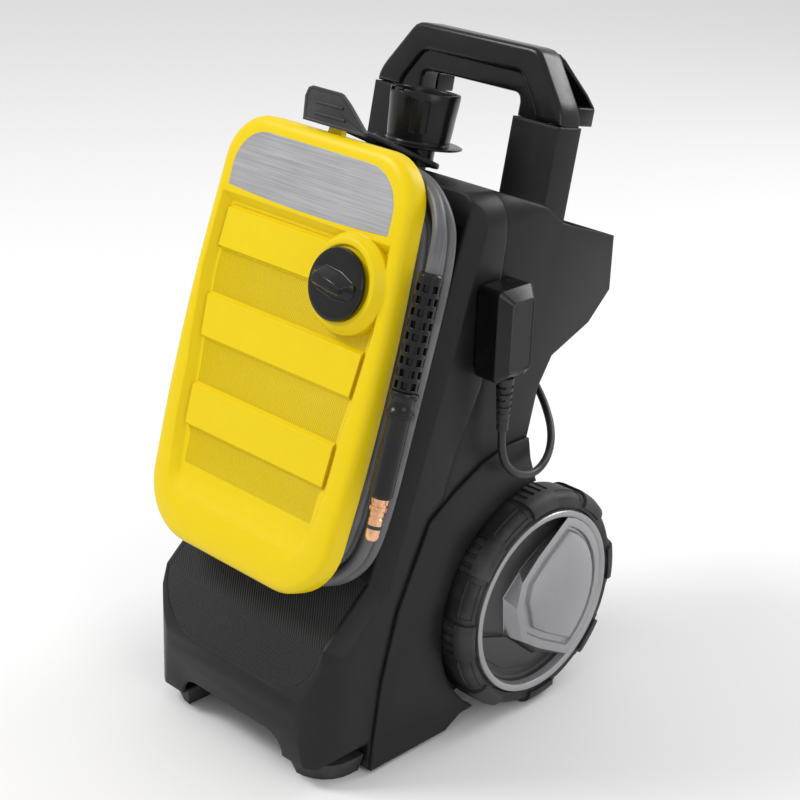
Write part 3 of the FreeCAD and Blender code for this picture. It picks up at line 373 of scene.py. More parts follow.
def ribbed(name, colour, worn_tone_and_painted_rib_shading, roughness, pitch, depth, slant, specular=0.5):
    """Moulded plastic with fine slanting ribs; the troughs of the ribs are painted a second tone as painted
    light and shade.
    """
    finish = Finish(name, specular_ior_level=specular)
    x, y, z = finish.axes()
    wave = finish.math("SINE", (x * slant[0] + y * slant[1] + z * slant[2]) * (2 * math.pi / pitch))
    flow = finish.noise(11.0, 4.0)
    grit = finish.noise(1500.0, 2.0)
    # painted light and shade: the rib troughs take the second tone, darker than the crests on the yellow
    # cover (painted shade) and lighter on the dark panel (painted light)
    painted_rib_shading = finish.between(wave + (flow - 0.5) * 0.6, -0.9, 0.9)
    finish.feed("Base Color", finish.mix(painted_rib_shading, worn_tone_and_painted_rib_shading, colour))
    finish.feed("Roughness", roughness + (flow - 0.5) * 0.1 + (grit - 0.5) * 0.1)
    finish.relief(wave + grit * 0.3, depth)
    return finish.material


def brushed(name, colour, dark, roughness, stretch, metallic=1.0, depth=0.00003):
    """Brushed or turned metal: long fine scratches one way."""
    finish = Finish(name, metallic=metallic)
    scratch = finish.noise(1.0, 4.0, finish.stretched(stretch))
    cloud = finish.noise(14.0, 3.0)
    shine = finish.between(scratch * 0.75 + cloud * 0.25, 0.3, 0.7)
    finish.feed("Base Color", finish.mix(shine, dark, colour))
    finish.feed("Roughness", roughness + (scratch - 0.5) * 0.3 + (cloud - 0.5) * 0.1)
    finish.relief(scratch, depth)
    return finish.material


def rubber(name, colour, worn_tone_and_painted_rib_shading, roughness, scale=420.0, depth=0.00008, specular=0.4):
    """Rubber and soft vinyl: matte, faintly uneven, with a little bloom."""
    finish = Finish(name, specular_ior_level=specular)
    bloom = finish.noise(30.0, 5.0)
    skin = finish.noise(scale, 3.0)
    finish.feed("Base Color", finish.mix(finish.between(bloom, 0.35, 0.75), colour, worn_tone_and_painted_rib_shading))
    finish.feed("Roughness", roughness + (bloom - 0.5) * 0.18 + (skin - 0.5) * 0.1)
    finish.relief(skin, depth)
    return finish.material


def cast(name, colour, dark, roughness=0.45):
    """Die-cast metal: a pebbled skin with darker pits."""
    finish = Finish(name, metallic=0.9)
    pits = finish.noise(300.0, 4.0)
    cloud = finish.noise(18.0, 3.0)
    finish.feed("Base Color", finish.mix(finish.between(pits + cloud * 0.4, 0.5, 0.9), dark, colour))
    finish.feed("Roughness", roughness + (pits - 0.5) * 0.25)
    finish.relief(pits, 0.0002)
    return finish.material


def silver_paint(name, colour, dark, roughness=0.32):
    """Silver-painted plastic with fine flake and a soft clear coat."""
    finish = Finish(name, metallic=0.75, coat_weight=0.25, coat_roughness=0.2)
    flake = finish.noise(2600.0, 1.0)
    cloud = finish.noise(8.0, 3.0)
    soft, near_edge = finish.rounded_edges(0.001)
    finish.feed("Base Color", finish.mix(finish.between(flake * 0.7 + cloud * 0.5, 0.4, 0.8), dark, colour))
    finish.feed("Roughness", roughness + (flake - 0.5) * 0.2 + near_edge * 0.08)
    finish.relief(flake, 0.00002, soft)
    return finish.material


def grey(level):
    """A grey that leans slightly to blue."""
    return (level, level, level * 1.03)


def finishes():
    """Every finish of the machine, by its slot's name."""
    return {
        "housing_dark": moulded("housing_dark", grey(0.006), grey(0.02), 0.4, edge=0.004, specular=0.24),
        # the panel's rib troughs get grey(0.028), lighter than the crests: painted light across the ribs
        "panel_textured": ribbed("panel_textured", grey(0.006), grey(0.028), 0.5, 0.0022, 0.0003,
                                 (0.7, 0.0, 0.7), specular=0.22),
        "foot_rubber": rubber("foot_rubber", grey(0.02), grey(0.05), 0.7),
        "cover_yellow": moulded("cover_yellow", (0.71, 0.52, 0.0), (0.77, 0.58, 0.003), 0.36,
                                edge=0.0012, specular=0.22),
        # the cover's rib troughs get (0.6, 0.43, 0.0), darker than the crests: painted shade in the ribs
        "cover_ribs": ribbed("cover_ribs", (0.71, 0.52, 0.0), (0.6, 0.43, 0.0), 0.45, 0.0021, 0.0003,
                             (0.7, 0.0, 0.7), specular=0.22),
        "badge_metal": brushed("badge_metal", (0.5, 0.5, 0.51), (0.4, 0.4, 0.41), 0.4, (14, 900, 900),
                               depth=0.00001),
        "knob_black": moulded("knob_black", grey(0.002), grey(0.006), 0.1, grain=0.000002, edge=0.0008,
                              specular=0.35),
        "black_plastic": moulded("black_plastic", grey(0.004), grey(0.012), 0.24, grain=0.00001,
                                 edge=0.0015, specular=0.3),
        "hose_grey": rubber("hose_grey", (0.085, 0.085, 0.09), (0.13, 0.13, 0.135), 0.42, specular=0.45),
        "black_rubber": rubber("black_rubber", grey(0.012), grey(0.035), 0.5),
        "lead_black": rubber("lead_black", grey(0.012), grey(0.03), 0.38),
        "tyre_black": rubber("tyre_black", grey(0.012), grey(0.04), 0.55, scale=260.0, depth=0.0002),
        "rim_black": moulded("rim_black", grey(0.012), grey(0.04), 0.45),
        "hubcap_silver": silver_paint("hubcap_silver", (0.42, 0.42, 0.44), (0.3, 0.3, 0.31)),
        "hubcap_dark": moulded("hubcap_dark", grey(0.02), grey(0.06), 0.38),
        "steel": brushed("steel", (0.58, 0.58, 0.6), (0.4, 0.4, 0.42), 0.3, (500, 500, 30)),
        "cast_alloy": cast("cast_alloy", (0.55, 0.55, 0.57), (0.32, 0.32, 0.34)),
        "copper_winding": brushed("copper_winding", (0.6, 0.24, 0.1), (0.38, 0.13, 0.05), 0.35,
                                  (60, 60, 1500)),
        "brass": brushed("brass", (0.85, 0.5, 0.3), (0.76, 0.42, 0.24), 0.2, (700, 700, 60), depth=0.00001),
        "coupling_plastic": moulded("coupling_plastic", grey(0.01), grey(0.03), 0.4),
    }


def finish_nodes(found):
    """Gives every CAD node the finish of its own material slot."""
    for part in frame["record"]["subparts"]:
        node = NODES[part["node"]]
        node.data.materials.clear()
        node.data.materials.append(found[part["material_slot"]])


# ---------------------------------------------------------------- cords
def centre_line(name, points, diameter):
    """Round cord along one smooth line."""
    curve = bpy.data.curves.new(name, "CURVE")
    curve.dimensions = "3D"
    spline = curve.splines.new("NURBS")
    spline.points.add(len(points) - 1)
    for point, place in zip(spline.points, points):
        point.co = (*place, 1)
        point.radius = diameter / 2
    spline.order_u = 3
    spline.use_endpoint_u = True
    spline.resolution_u = 8
    curve.bevel_depth = 1
    curve.bevel_resolution = 4
    curve.use_fill_caps = True
    piece = bpy.data.objects.new(name, curve)
    bpy.context.scene.collection.objects.link(piece)
    return piece


def eased(share):
    share = min(max(share, 0.0), 1.0)
    return share * share * (3 - 2 * share)


def winding_order(rows, columns, last_row_columns=None):
    """Row and column of each turn, wound layer by layer, there and back."""
    order = []
    for row in range(rows):
        across = list(range(columns))
        if row % 2:
            across.reverse()
        if row == rows - 1 and last_row_columns:
            across = across[:last_row_columns]
        order += [(row, column) for column in across]
    return order


def rounded_turn(share, half_wide, half_high, radius):
    """Point of a rounded rectangle's control line, share of the way round from its bottom, clockwise."""
    step = math.radians(15)
    reach = radius / math.cos(step)
    points = []
    for sign_x, sign_y, start in ((-1, -1, 270), (-1, 1, 180), (1, 1, 90), (1, -1, 0)):
        middle = Vector((sign_x * (half_wide - radius), sign_y * (half_high - radius)))
        for degrees in (15, 45, 75):
            angle = math.radians(start - degrees)
            points.append(middle + reach * Vector((math.cos(angle), math.sin(angle))))
        points.append(None)
    marks = []
    for i, point in enumerate(points):
        if point is None:
            before, after = points[i - 1], points[(i + 1) % len(points)]
            point = (before + after) / 2
        marks.append(point)
    return marks[round(share * len(marks)) % len(marks)]


POINTS_PER_TURN = 16


def hose_route():
    """Nearly nine turns of hose on the core behind the cover, then the free end round the corner."""
    order = winding_order(HOSE_ROWS, HOSE_COLUMNS)
    middle = (HOSE_TOP + HOSE_BOTTOM) / 2
    turns = len(order)
    route = []
    leave = POINTS_PER_TURN * turns - 7
    for i in range(leave):
        turn, step = divmod(i, POINTS_PER_TURN)
        shift = eased(step / 4)
        here, before = order[turn], order[max(turn - 1, 0)]
        row = before[0] + (here[0] - before[0]) * shift
        column = before[1] + (here[1] - before[1]) * shift
        ease = 0.35 * math.sin(2.4 * turn + 0.8 * step)
        inward = (HOSE_ROWS - 1 - row) * HOSE + HOSE / 2 + max(ease, 0)
        deep = HOSE_FRONT - HOSE_COLUMNS * HOSE + (column + 0.5) * HOSE
        point = rounded_turn(step / POINTS_PER_TURN, HOSE_HALF - inward,
                             (HOSE_TOP - HOSE_BOTTOM) / 2 - inward, HOSE_CORNER - inward)
        route.append((point.x, point.y + middle, deep))
    route += HOSE_TAIL
    return [COVER @ (Vector(p) * MM) for p in route]


def lead_route():
    """Nearly seventeen turns of mains lead round the two rear hooks, then the loop to the plug."""
    order = winding_order(len(WINDING_RADII), LEAD_COLUMNS, LEAD_LAST_ROW)
    per_turn = 12
    route = [(-8, 150, 336), (-9, 153, 326)]
    for i in range(len(order) * per_turn - 2):
        turn, step = divmod(i, per_turn)
        shift = eased(step / 4)
        here, before = order[turn], order[max(turn - 1, 0)]
        radius = WINDING_RADII[before[0]] * (1 - shift) + WINDING_RADII[here[0]] * shift
        column = before[1] + (here[1] - before[1]) * shift
        angle = math.radians(-30 - step * 360 / per_turn)
        reach = radius / math.cos(math.radians(180 / per_turn))
        side = math.copysign(WINDING_STRAIGHT, math.sin(angle)) if abs(math.sin(angle)) > 0.3 else 0
        route.append((WINDING_X + reach * math.cos(angle), WINDING_Y + (column + 0.5) * LEAD,
                      WINDING_Z + side + reach * math.sin(angle)))
    route += LEAD_ROUTE
    return [Vector(p) * MM for p in route]


def cords():
    hose = centre_line("hose", hose_route(), HOSE * MM)
    lead = centre_line("lead", lead_route(), LEAD * MM)
    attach(hose, "machine")
    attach(lead, "machine")
    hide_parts("hose_coil", "hose_tail")
    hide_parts("lead_winding", "mains_lead")
    return hose, lead


# ---------------------------------------------------------------- hose cover
COVER_HALF, COVER_TOP, COVER_LOW = 121.0, 70.0, -348.0
COVER_BULGE, COVER_LOW_HALF = 134.5, 123.5
COVER_BACK, COVER_EDGE, COVER_RIM = -21.0, -7.0, 1.0
SIDE_ROUND, TOP_ROUND, LOW_ROUND = 90, 46, 58
SHOULDER = ((1.0, 2.6), (1.6, 2.2), (2.4, 1.7), (3.0, 1.0), (3.2, 0.5))
RIM_WIDTH, WALL_SLOPE = 9.0, 8.0
FIELD = -8.0
FIELD_SIDES = ((-20, 1.075), (-90, 1.075), (-130, 1.045), (-180, 1.02), (-240, 0.985), (-400, 0.95))
BADGE_LOW = -8.0
BANDS = ((-65.0, -21.0), (-153.0, -107.0), (-240.0, -195.0))
BAND_RISE = 4.5
SCOOP_TOP, SCOOP_LOW = -270.0, -308.0
BOSS = (73.0, -53.0)
BOSS_RADIUS, BOSS_HEIGHT = 46.5, 10.0


def cover_outline():
    """Flat face with the cover's outline: straight top, bulging sides and rounded corners."""
    cover = added(bpy.ops.mesh.primitive_plane_add, "cover_shell", size=1)
    grow(2 * COVER_HALF * MM, (COVER_TOP - COVER_LOW) * MM)
    move(0, (COVER_TOP + COVER_LOW) / 2, COVER_BACK)
    pick(cover, "EDGE", lambda p, d: abs(p.x) > 1)
    bpy.ops.mesh.subdivide(number_cuts=1)
    pick(cover, "VERT", lambda p, n: abs(p.x) > 1 and -200 < p.y < -100)
    grow(COVER_BULGE / COVER_HALF)
    move(0, -11)
    pick(cover, "VERT", lambda p, n: abs(p.x) > 1 and p.y < -300)
    grow(COVER_LOW_HALF / COVER_HALF)
    pick(cover, "VERT", lambda p, n: -200 < p.y < -100)
    round_corners(SIDE_ROUND, 6, corners=True)
    pick(cover, "VERT", lambda p, n: p.y > COVER_TOP - 1)
    round_corners(TOP_ROUND, 10, corners=True)
    pick(cover, "VERT", lambda p, n: p.y < COVER_LOW + 1)
    round_corners(LOW_ROUND, 10, corners=True)
    bpy.ops.mesh.select_all(action="SELECT")
    bpy.ops.mesh.dissolve_faces()
    return cover


def cover_rim(cover):
    """Skirt, rolled shoulder and top of the rim, then the sloping wall round the sunk field."""
    pick(cover, "FACE", lambda p, n: True)
    raise_face(COVER_EDGE - COVER_BACK)
    tidy_mesh()
    pick(cover, "FACE", lambda p, n: p.z < COVER_BACK + 1 and n.z < -0.9)
    inset(3)
    inset(1, -7)
    pick(cover, "FACE", lambda p, n: p.z > COVER_EDGE - 1 and n.z > 0.9)
    for width, rise in SHOULDER:
        inset(width, rise)
    inset(RIM_WIDTH)
    bpy.ops.mesh.bisect(plane_co=(0, BADGE_LOW * MM, 0), plane_no=(0, 1, 0))
    high = BADGE_LOW + 1
    for low, factor in FIELD_SIDES:
        pick(cover, "VERT", lambda p, n: p.z > COVER_RIM - 0.1 and on_inner_edge(p) and low <= p.y < high)
        grow(factor)
        high = low
    pick(cover, "VERT", lambda p, n: p.z > COVER_RIM - 0.1 and on_inner_edge(p) and p.y < -205)
    grow(1, 0.915, 1, (0, -200, 0))
    pick(cover, "FACE", lambda p, n: p.z > 0.9 and n.z > 0.9 and -250 < p.y < -100 and abs(p.x) < 20)
    inset(1.2, -0.4)
    inset(WALL_SLOPE, FIELD - COVER_RIM + 1.2)
    inset(2.5, -0.8)


def on_inner_edge(p):
    """Whether a place on top of the rim lies on its inner edge."""
    half = COVER_HALF + (COVER_BULGE - COVER_HALF) * min(max((COVER_TOP - p.y) / 230, 0), 1)
    return abs(p.x) < half - 15 and p.y > COVER_LOW + 15


def cover_field(cover):
    """Three raised bands across the field, and the scoop that runs out to the rim below them."""
    def on_floor(p, n):
        return n.z > 0.99 and abs(p.z - FIELD) < 0.5

    def on_scoop_line(p):
        return abs(p.y - SCOOP_TOP) < 0.2 and abs(p.z - FIELD) < 0.1

    for line in [edge for band in BANDS for edge in band] + [SCOOP_TOP]:
        pick(cover, "FACE", on_floor)
        bpy.ops.mesh.bisect(plane_co=(0, line * MM, 0), plane_no=(0, 1, 0))
    for low, high in BANDS:
        pick(cover, "FACE", lambda p, n: on_floor(p, n) and low < p.y < high)
        inset(3.2, BAND_RISE)
        grow(1.045)
    pick(cover, "EDGE", lambda p, d: abs(d.x) > 0.99 and on_scoop_line(p))
    bpy.ops.mesh.subdivide(number_cuts=15)
    for i in range(9):
        low, high = 55 + 5 * i, 60 + 5 * i
        pick(cover, "VERT", lambda p, n: on_scoop_line(p) and low <= abs(p.x) < high)
        move(0, 0.45 * (i + 1) ** 1.9)
    steps = 8
    for i in range(1, steps):
        pick(cover, "FACE", lambda p, n: on_floor(p, n) and p.y < SCOOP_TOP)
        level = SCOOP_TOP + (SCOOP_LOW - SCOOP_TOP) * i / steps
        bpy.ops.mesh.bisect(plane_co=(0, level * MM, 0), plane_no=(0, 1, 0))
    for i in range(24):
        high = SCOOP_TOP - 1 - 2 * i
        lift = min((SCOOP_TOP - high + 1) / (SCOOP_TOP - SCOOP_LOW), 1) ** 1.7
        pick(cover, "VERT", lambda p, n: abs(p.z - FIELD) < 0.01 and high - 2 <= p.y < high)
        move(0, 0, (COVER_RIM - FIELD - 0.8) * lift)
        pick(cover, "VERT", lambda p, n: abs(p.z - FIELD - 0.8) < 0.01 and high - 2 <= p.y < high)
        move(0, 0, (COVER_RIM - FIELD - 1.5) * lift)


def cover_boss():
    """Round boss for the switch knob, with a conical side and a shallow well."""
    r, top = BOSS_RADIUS, BOSS_HEIGHT
    cone = [(0, -12), (r, -12), (r, top - 9.6), (r - 0.9, top - 8.4), (r - 5.2, top - 1.6),
            (r - 6.4, top - 0.4), (r - 8.2, top)]
    well = [(KNOB_R + 1.6, top - 0.2), (KNOB_R + 0.6, top - 1), (KNOB_R + 0.4, top - 3), (0, top - 3)]
    boss = turned("boss", cone + well, 96)
    return laid(boss, Matrix.Translation((BOSS[0] * MM, BOSS[1] * MM, 0)))


def front_cover(yellow, ribbed_yellow):
    """The whole yellow cover; the sunk zones between its bands get the ribbed finish."""
    cover = cover_outline()
    cover_rim(cover)
    cover_field(cover)
    tidy_mesh()
    boss = cover_boss()
    foot, tip = COVER_TOP - 4, COVER_TOP + 24
    fin = block("fin", [(-9, foot), (9, foot), (6, tip), (-6, tip)], COVER_BACK, 7)
    rest()
    joined(cover, boss, fin)
    smooth(cover, 23)
    dressed(cover, "machine", [yellow, ribbed_yellow], "cover_yellow", "front_cover")
    zone_lows = [high for low, high in BANDS] + [SCOOP_TOP]
    zone_highs = [BADGE_LOW] + [low for low, high in BANDS]
    zones = list(zip(zone_lows, zone_highs))
    for face in cover.data.polygons:
        p = face.center / MM
        if face.normal.z > 0.99 and abs(p.z - FIELD) < 0.3 and any(low < p.y < high for low, high in zones):
            face.material_index = 1
    return laid(cover, COVER)


# ---------------------------------------------------------------- badge and knob
KNOB_R = 33.4


def badge_plate(metal):
    """Brushed plate in the head of the cover: rounded top corners and a slightly sagging lower edge."""
    half, top, radius = 107.0, 55.5, 40.0
    corner = quarter_round(half - radius, top - radius, radius, 0, 9)
    low = [(half * (1 - i / 8), -2.5 - 3.5 * (1 - (1 - i / 8) ** 2)) for i in range(17)]
    points = low + [(-x, y) for x, y in corner] + corner[::-1]
    badge = block("badge", points, COVER_RIM - 0.8, 0.5)
    inset(0.9, 0.75)
    smooth(badge, 30)
    return laid(dressed(badge, "machine", [metal], "badge_metal", "badge_plate"), COVER)


def switch_knob(black):
    """Glossy flat disc with a faceted grip bar across it."""
    base = BOSS_HEIGHT + 0.4
    r = KNOB_R
    side = [(0, base), (r - 1, base), (r, base + 1), (r, base + 4.4), (r - 0.7, base + 5.4)]
    face = [(r - 3, base + 6), (28, base + 6.2), (24, base + 6.2), (14, base + 6.3), (0, base + 6.4)]
    disc = turned("knob", side + face, 96)
    rest()
    bar = block("bar", [(-30, -6), (-18, -13), (4, -14.5), (22, -10), (28, 0), (22, 10), (4, 14.5), (-18, 13),
                        (-30, 6), (-31.5, 0)], base + 4, 15)
    grow(0.9, 0.3)
    pick(bar, "VERT", lambda p, n: p.z > base + 9 and p.x < -24)
    move(3, 0, -9)
    pick(bar, "VERT", lambda p, n: p.z > base + 9 and p.x > 22)
    move(-5, 0, -4)
    pick(bar, "EDGE", lambda p, d: p.z > base + 5)
    round_corners(1.2, 4)
    rest()
    joined(disc, bar)
    smooth(disc, 35)
    middle = Matrix.Translation((BOSS[0] * MM - MM, BOSS[1] * MM - 2 * MM, 0))
    laid(disc, middle @ Matrix.Rotation(math.radians(-8), 4, "Z"))
    dressed(disc, "switch", [black], "knob_black", "switch_knob")
    return laid(disc, COVER)


# ---------------------------------------------------------------- wheels, modelled on their own axis
WHEEL = Matrix.Translation((0, 0.078, 0.1195)) @ ACROSS
LUGS, LUG_HALF, LUG_FIRST = 8, 10.0, 3.5
LUG_RISE = 3.2
RING_R, DISH_R = 98.3, 91.0
RING_FACE, DISH_FLOOR = 158.0, 144.0
DARK_BELOW = 151.5
PANEL_R = 91.2
CAP_FOOT = ((49.6, 76.3), (3, 58), (-26, 41), (-50, 18), (-46, -26.6), (-8.1, -60.9), (45, -80))
CAP_HEAD = ((30, 86), (-12, 55.5), (-35, 34), (-41, 6), (-30, -35), (-2, -54), (44, -79))


def round_wheel(p, centre):
    """Degrees from the nearest of the eight places that start at centre, and the radius in millimetres."""
    angle = math.degrees(math.atan2(p.y, p.x)) - centre
    turn = 360 / LUGS
    return abs((angle + turn / 2) % turn - turn / 2), math.hypot(p.x, p.y)


def tyre(black):
    """Solid tyre with eight raised lugs, slotted across the tread, and sunk panels between them."""
    shoulder = [(103.5, 154.6), (107.5, 154.8), (110.5, 153.8), (113.4, 151.2), (115.4, 147.2),
                (116.2, 142)]
    middle = (158 + 106) / 2
    inner_side = [(r, 2 * middle - x) for r, x in shoulder[::-1]]
    profile = [(100.5, 153.6)] + shoulder + inner_side + [(100.5, 110.4)]
    body = turned("tyre", profile + profile[:1], 144)
    pick(body, "FACE", lambda p, n: round_wheel(p, 0)[0] < LUG_HALF and round_wheel(p, 0)[1] > 105)
    inset(0.5)
    bpy.ops.mesh.extrude_region_shrink_fatten(TRANSFORM_OT_shrink_fatten={"value": LUG_RISE * MM})
    inset(0.7, 0.05)
    pick(body, "FACE", lambda p, n: round_wheel(p, 0)[0] < LUG_HALF - 1 and abs(p.z - middle) < 10
         and round_wheel(p, 0)[1] > 118.5 and int(math.degrees(math.atan2(p.y, p.x)) % 45 / 2.5) % 2 == 0)
    inset(0.9, -1.6, each=True)
    pick(body, "FACE", lambda p, n: round_wheel(p, 22.5)[0] < 9 and p.z > middle
         and 107 < round_wheel(p, 0)[1] < 116)
    inset(0.6)
    inset(0.7, -1.1)
    smooth(body, 32)
    laid(body, WHEEL @ Matrix.Rotation(math.radians(LUG_FIRST), 4, "Z"))
    return dressed(body, "right_wheel", [black], "tyre_black", "tyre_right")


def arc_between(first, last, radius, steps):
    a, b = (math.atan2(p[1], p[0]) for p in (first, last))
    return [(radius * math.cos(a + (b - a) * i / steps), radius * math.sin(a + (b - a) * i / steps))
            for i in range(1, steps)]


def hubcap_panel():
    """Silver panel that fills most of the dish: sloping walls, a grooved border and a domed middle."""
    foot = list(CAP_FOOT) + arc_between(CAP_FOOT[-1], CAP_FOOT[0], PANEL_R, 14)
    head = list(CAP_HEAD) + arc_between(CAP_HEAD[-1], CAP_HEAD[0], PANEL_R, 14)
    panel = block("panel", foot, DISH_FLOOR - 1, RING_FACE - DISH_FLOOR - 0.4)
    for (x0, y0), (x1, y1) in reversed(list(zip(foot, head))):
        pick(panel, "VERT", lambda p, n: p.z > RING_FACE - 2 and math.hypot(p.x - x0, p.y - y0) < 0.1)
        move(x1 - x0, y1 - y0)
    pick(panel, "FACE", lambda p, n: n.z > 0.9 and p.z > RING_FACE - 2)
    inset(0.8, 0.3)
    inset(8.0, 0.2)
    inset(1.4, -4)
    inset(4.5)
    move(3.5)
    inset(1.6, 3.8)
    inset(1.0, 0.5)
    for rise, share in ((1.4, 0.86), (1.2, 0.8), (0.8, 0.7), (0.3, 0.4)):
        raise_face(rise)
        grow(share, share, 1, (32, 0, 0))
    smooth(panel, 28)
    return panel


def hubcap(silver, dark):
    """Silver ring and the deep dark dish inside it, with the silver panel."""
    profile = [(0, 142.2), (95.2, 142.2), (95.2, 150.2), (RING_R, 150.2), (RING_R, 156.6), (97.6, 157.7),
               (96.2, 158), (93.0, 157.4), (91.4, 156.2), (DISH_R, 154.4), (90.0, 149), (88.6, 145.4),
               (86.0, DISH_FLOOR), (0, DISH_FLOOR)]
    dish = turned("hubcap", profile, 144)
    rest()
    wedge = block("wedge", [(-86, -12), (-47, -26), (-4, -62), (52, -71), (44, -77), (0, -80), (-46, -66),
                            (-76, -40)], DISH_FLOOR - 1, 6.5)
    pick(wedge, "VERT", lambda p, n: p.z > DISH_FLOOR + 1 and (p.y < -70.5 or p.x < -45 and p.y < -30))
    move(0, 0, -4.8)
    rest()
    smooth(dish, 28)
    for face in dish.data.polygons:
        inside = math.hypot(face.center.x, face.center.y) < (DISH_R + 0.1) * MM and face.normal.z > -0.9
        face.material_index = 1 if inside and face.center.z < DARK_BELOW * MM else 0
    panel = hubcap_panel()
    rest()
    for piece in (dish, panel):
        drilled(piece, 18, 139, 156)
    for piece in (dish, panel, wedge):
        piece.data.materials.append(silver)
        piece.data.materials.append(dark)
    for face in wedge.data.polygons:
        face.material_index = 1
    cap = joined(dish, panel, wedge)
    laid(cap, WHEEL)
    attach(cap, "right_wheel")
    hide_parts("hubcap_right")
    return cap


def wheels(found):
    """The right wheel's tyre and cap, and their mirror images."""
    tread = tyre(found["tyre_black"])
    cap = hubcap(found["hubcap_silver"], found["hubcap_dark"])
    for piece, name, kind, slot in ((tread, "tyre_tread", "tyre", "tyre_black"),
                                    (cap, "hubcap_cap", "hubcap", "hubcap_silver")):
        piece.name = name + "_right"
        left = mirror_copy(piece, name + "_left")
        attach(left, "left_wheel")
        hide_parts(kind + "_left")


# ---------------------------------------------------------------- pieces on the hose end's own axis
def hose_end_frame():
    """Frame whose Z runs down the straight end of the hose and whose Y faces forward."""
    top, low = Vector((150.0, -22.0, -18.0)), Vector((157.0, -276.0, -18.0))
    down = (low - top).normalized()
    front = Vector((0, 0, 1))
    side = front.cross(down)
    axes = Matrix((side, front, down)).transposed().to_4x4()
    return COVER @ Matrix.Translation(top * MM) @ axes


def windows(piece, radius, levels, steps, wide, depth):
    """Staggered openings round a sleeve: wide of every steps columns, shifted on every other level."""
    for i, (low, high) in enumerate(levels):
        shift = (i % 2) * math.pi / steps

        def in_window(p, n):
            turn = (math.atan2(p.y, p.x) + shift) * steps / (2 * math.pi) % 1
            outside = math.hypot(n.x, n.y) > 0.7 and math.hypot(p.x, p.y) > radius - 2
            return outside and low < p.z < high and turn < wide

        pick(piece, "FACE", in_window)
        inset(0.25)
        bpy.ops.mesh.extrude_region_shrink_fatten(TRANSFORM_OT_shrink_fatten={"value": -depth * MM})


def bend_sleeve(black):
    """Bend relief of the hose: a tube of staggered windows between rings."""
    r, pitch, first = 11.4, 10.9, 6.0
    levels = [(first + pitch * i + 3.6, first + pitch * (i + 1) - 0.2) for i in range(9)]
    profile = [(6.3, 0.2), (9.6, 0.2), (10.6, 1.2), (r, 2.4)]
    for low, high in levels:
        profile += [(r, low), (r, high)]
    profile += [(r, 105.8), (6.3, 105.8)]
    sleeve = turned("sleeve", profile + profile[:1], 48)
    windows(sleeve, r, levels, 8, 0.74, 3.8)
    smooth(sleeve, 32)
    laid(sleeve, hose_end_frame())
    return dressed(sleeve, "machine", [black], "black_plastic", "bend_sleeve")


def connector_sleeve(black):
    """Waisted collar with two flanges, then the smooth sleeve."""
    profile = [(0, 106.2), (11, 106.2), (12.9, 107.2), (13.4, 108.6), (13.3, 110.6), (12.2, 111.8),
               (10.9, 114), (10.3, 118), (10.9, 122), (12.4, 124.2), (13.3, 125.4), (13.4, 128),
               (12.9, 129.6), (11.2, 130.4), (10.4, 132), (10.4, 201), (9.9, 203), (8.8, 203.8),
               (0, 203.8)]
    sleeve = turned("connector", profile, 64)
    smooth(sleeve, 32)
    laid(sleeve, hose_end_frame())
    return dressed(sleeve, "machine", [black], "black_plastic", "connector_sleeve")


def brass_nipple(brass):
    """Nipple with a notched shoulder, a stepped stem and the groove for its ring."""
    profile = [(0, 204.2), (7.2, 204.2), (8.0, 205), (8.0, 209.4), (7.0, 210), (7.0, 211.6), (8.0, 212.2),
               (8.0, 216), (6.5, 217), (6.5, 221), (5.9, 221.6), (5.9, 223), (6.5, 223.6), (6.5, 229.8),
               (4.9, 229.9), (4.9, 233.1), (6.5, 233.2), (6.5, 240), (6.0, 242), (4.8, 243.8),
               (3.4, 243.8), (3.4, 236), (0, 236)]
    nipple = turned("nipple", profile, 48)
    windows(nipple, 8, [(205, 209.4), (212.2, 216)], 6, 0.7, 0.9)
    smooth(nipple, 30)
    laid(nipple, hose_end_frame())
    return dressed(nipple, "machine", [brass], "brass", "brass_nipple")


# ---------------------------------------------------------------- lance cup and rubber band
HOLDER = Matrix.Translation((0, 0.026, 0.548)) @ Matrix.Rotation(-POST_LEAN, 4, "X")


def lance_holder(black):
    """Tapered cup with tall slots and a notched lip, on a neck with a round flange."""
    profile = [(0, 5), (17.8, 5), (17.8, 22), (19.5, 23.6), (41, 24.2), (43.4, 25.2), (43.4, 26.4),
               (41, 27.2), (31.6, 27.4), (30.6, 29), (31.6, 40), (32.6, 56), (33.6, 66), (33.9, 74),
               (33.3, 75.8), (29.4, 75.8), (28.2, 74.6), (27, 60), (27, 30.5), (0, 30.5)]
    cup = turned("cup", profile, 96)
    for degrees in (-62, -42, 40, 130, 220):
        a = math.radians(degrees)
        across, along = Vector((-math.sin(a), math.cos(a), 0)), Vector((math.cos(a), math.sin(a), 0))
        points = [along * u + across * v for u, v in ((30.5, -2.6), (40, -2.6), (40, 2.6), (30.5, 2.6))]
        slot = block("slot", [(q.x, q.y) for q in points], 38, 30)
        rest()
        finish_modifier(cup, "BOOLEAN", operation="DIFFERENCE", object=slot, solver="EXACT")
        bpy.data.objects.remove(slot)
    for x, wide, deep in ((-20, 9, 5), (-4, 6, 3)):
        notch = block("notch", [(x, -40), (x + wide, -40), (x + wide, -20), (x, -20)], 76 - deep, deep + 3)
        rest()
        finish_modifier(cup, "BOOLEAN", operation="DIFFERENCE", object=notch, solver="EXACT")
        bpy.data.objects.remove(notch)
    smooth(cup, 32)
    laid(cup, HOLDER)
    return dressed(cup, "machine", [black], "black_plastic", "lance_holder")


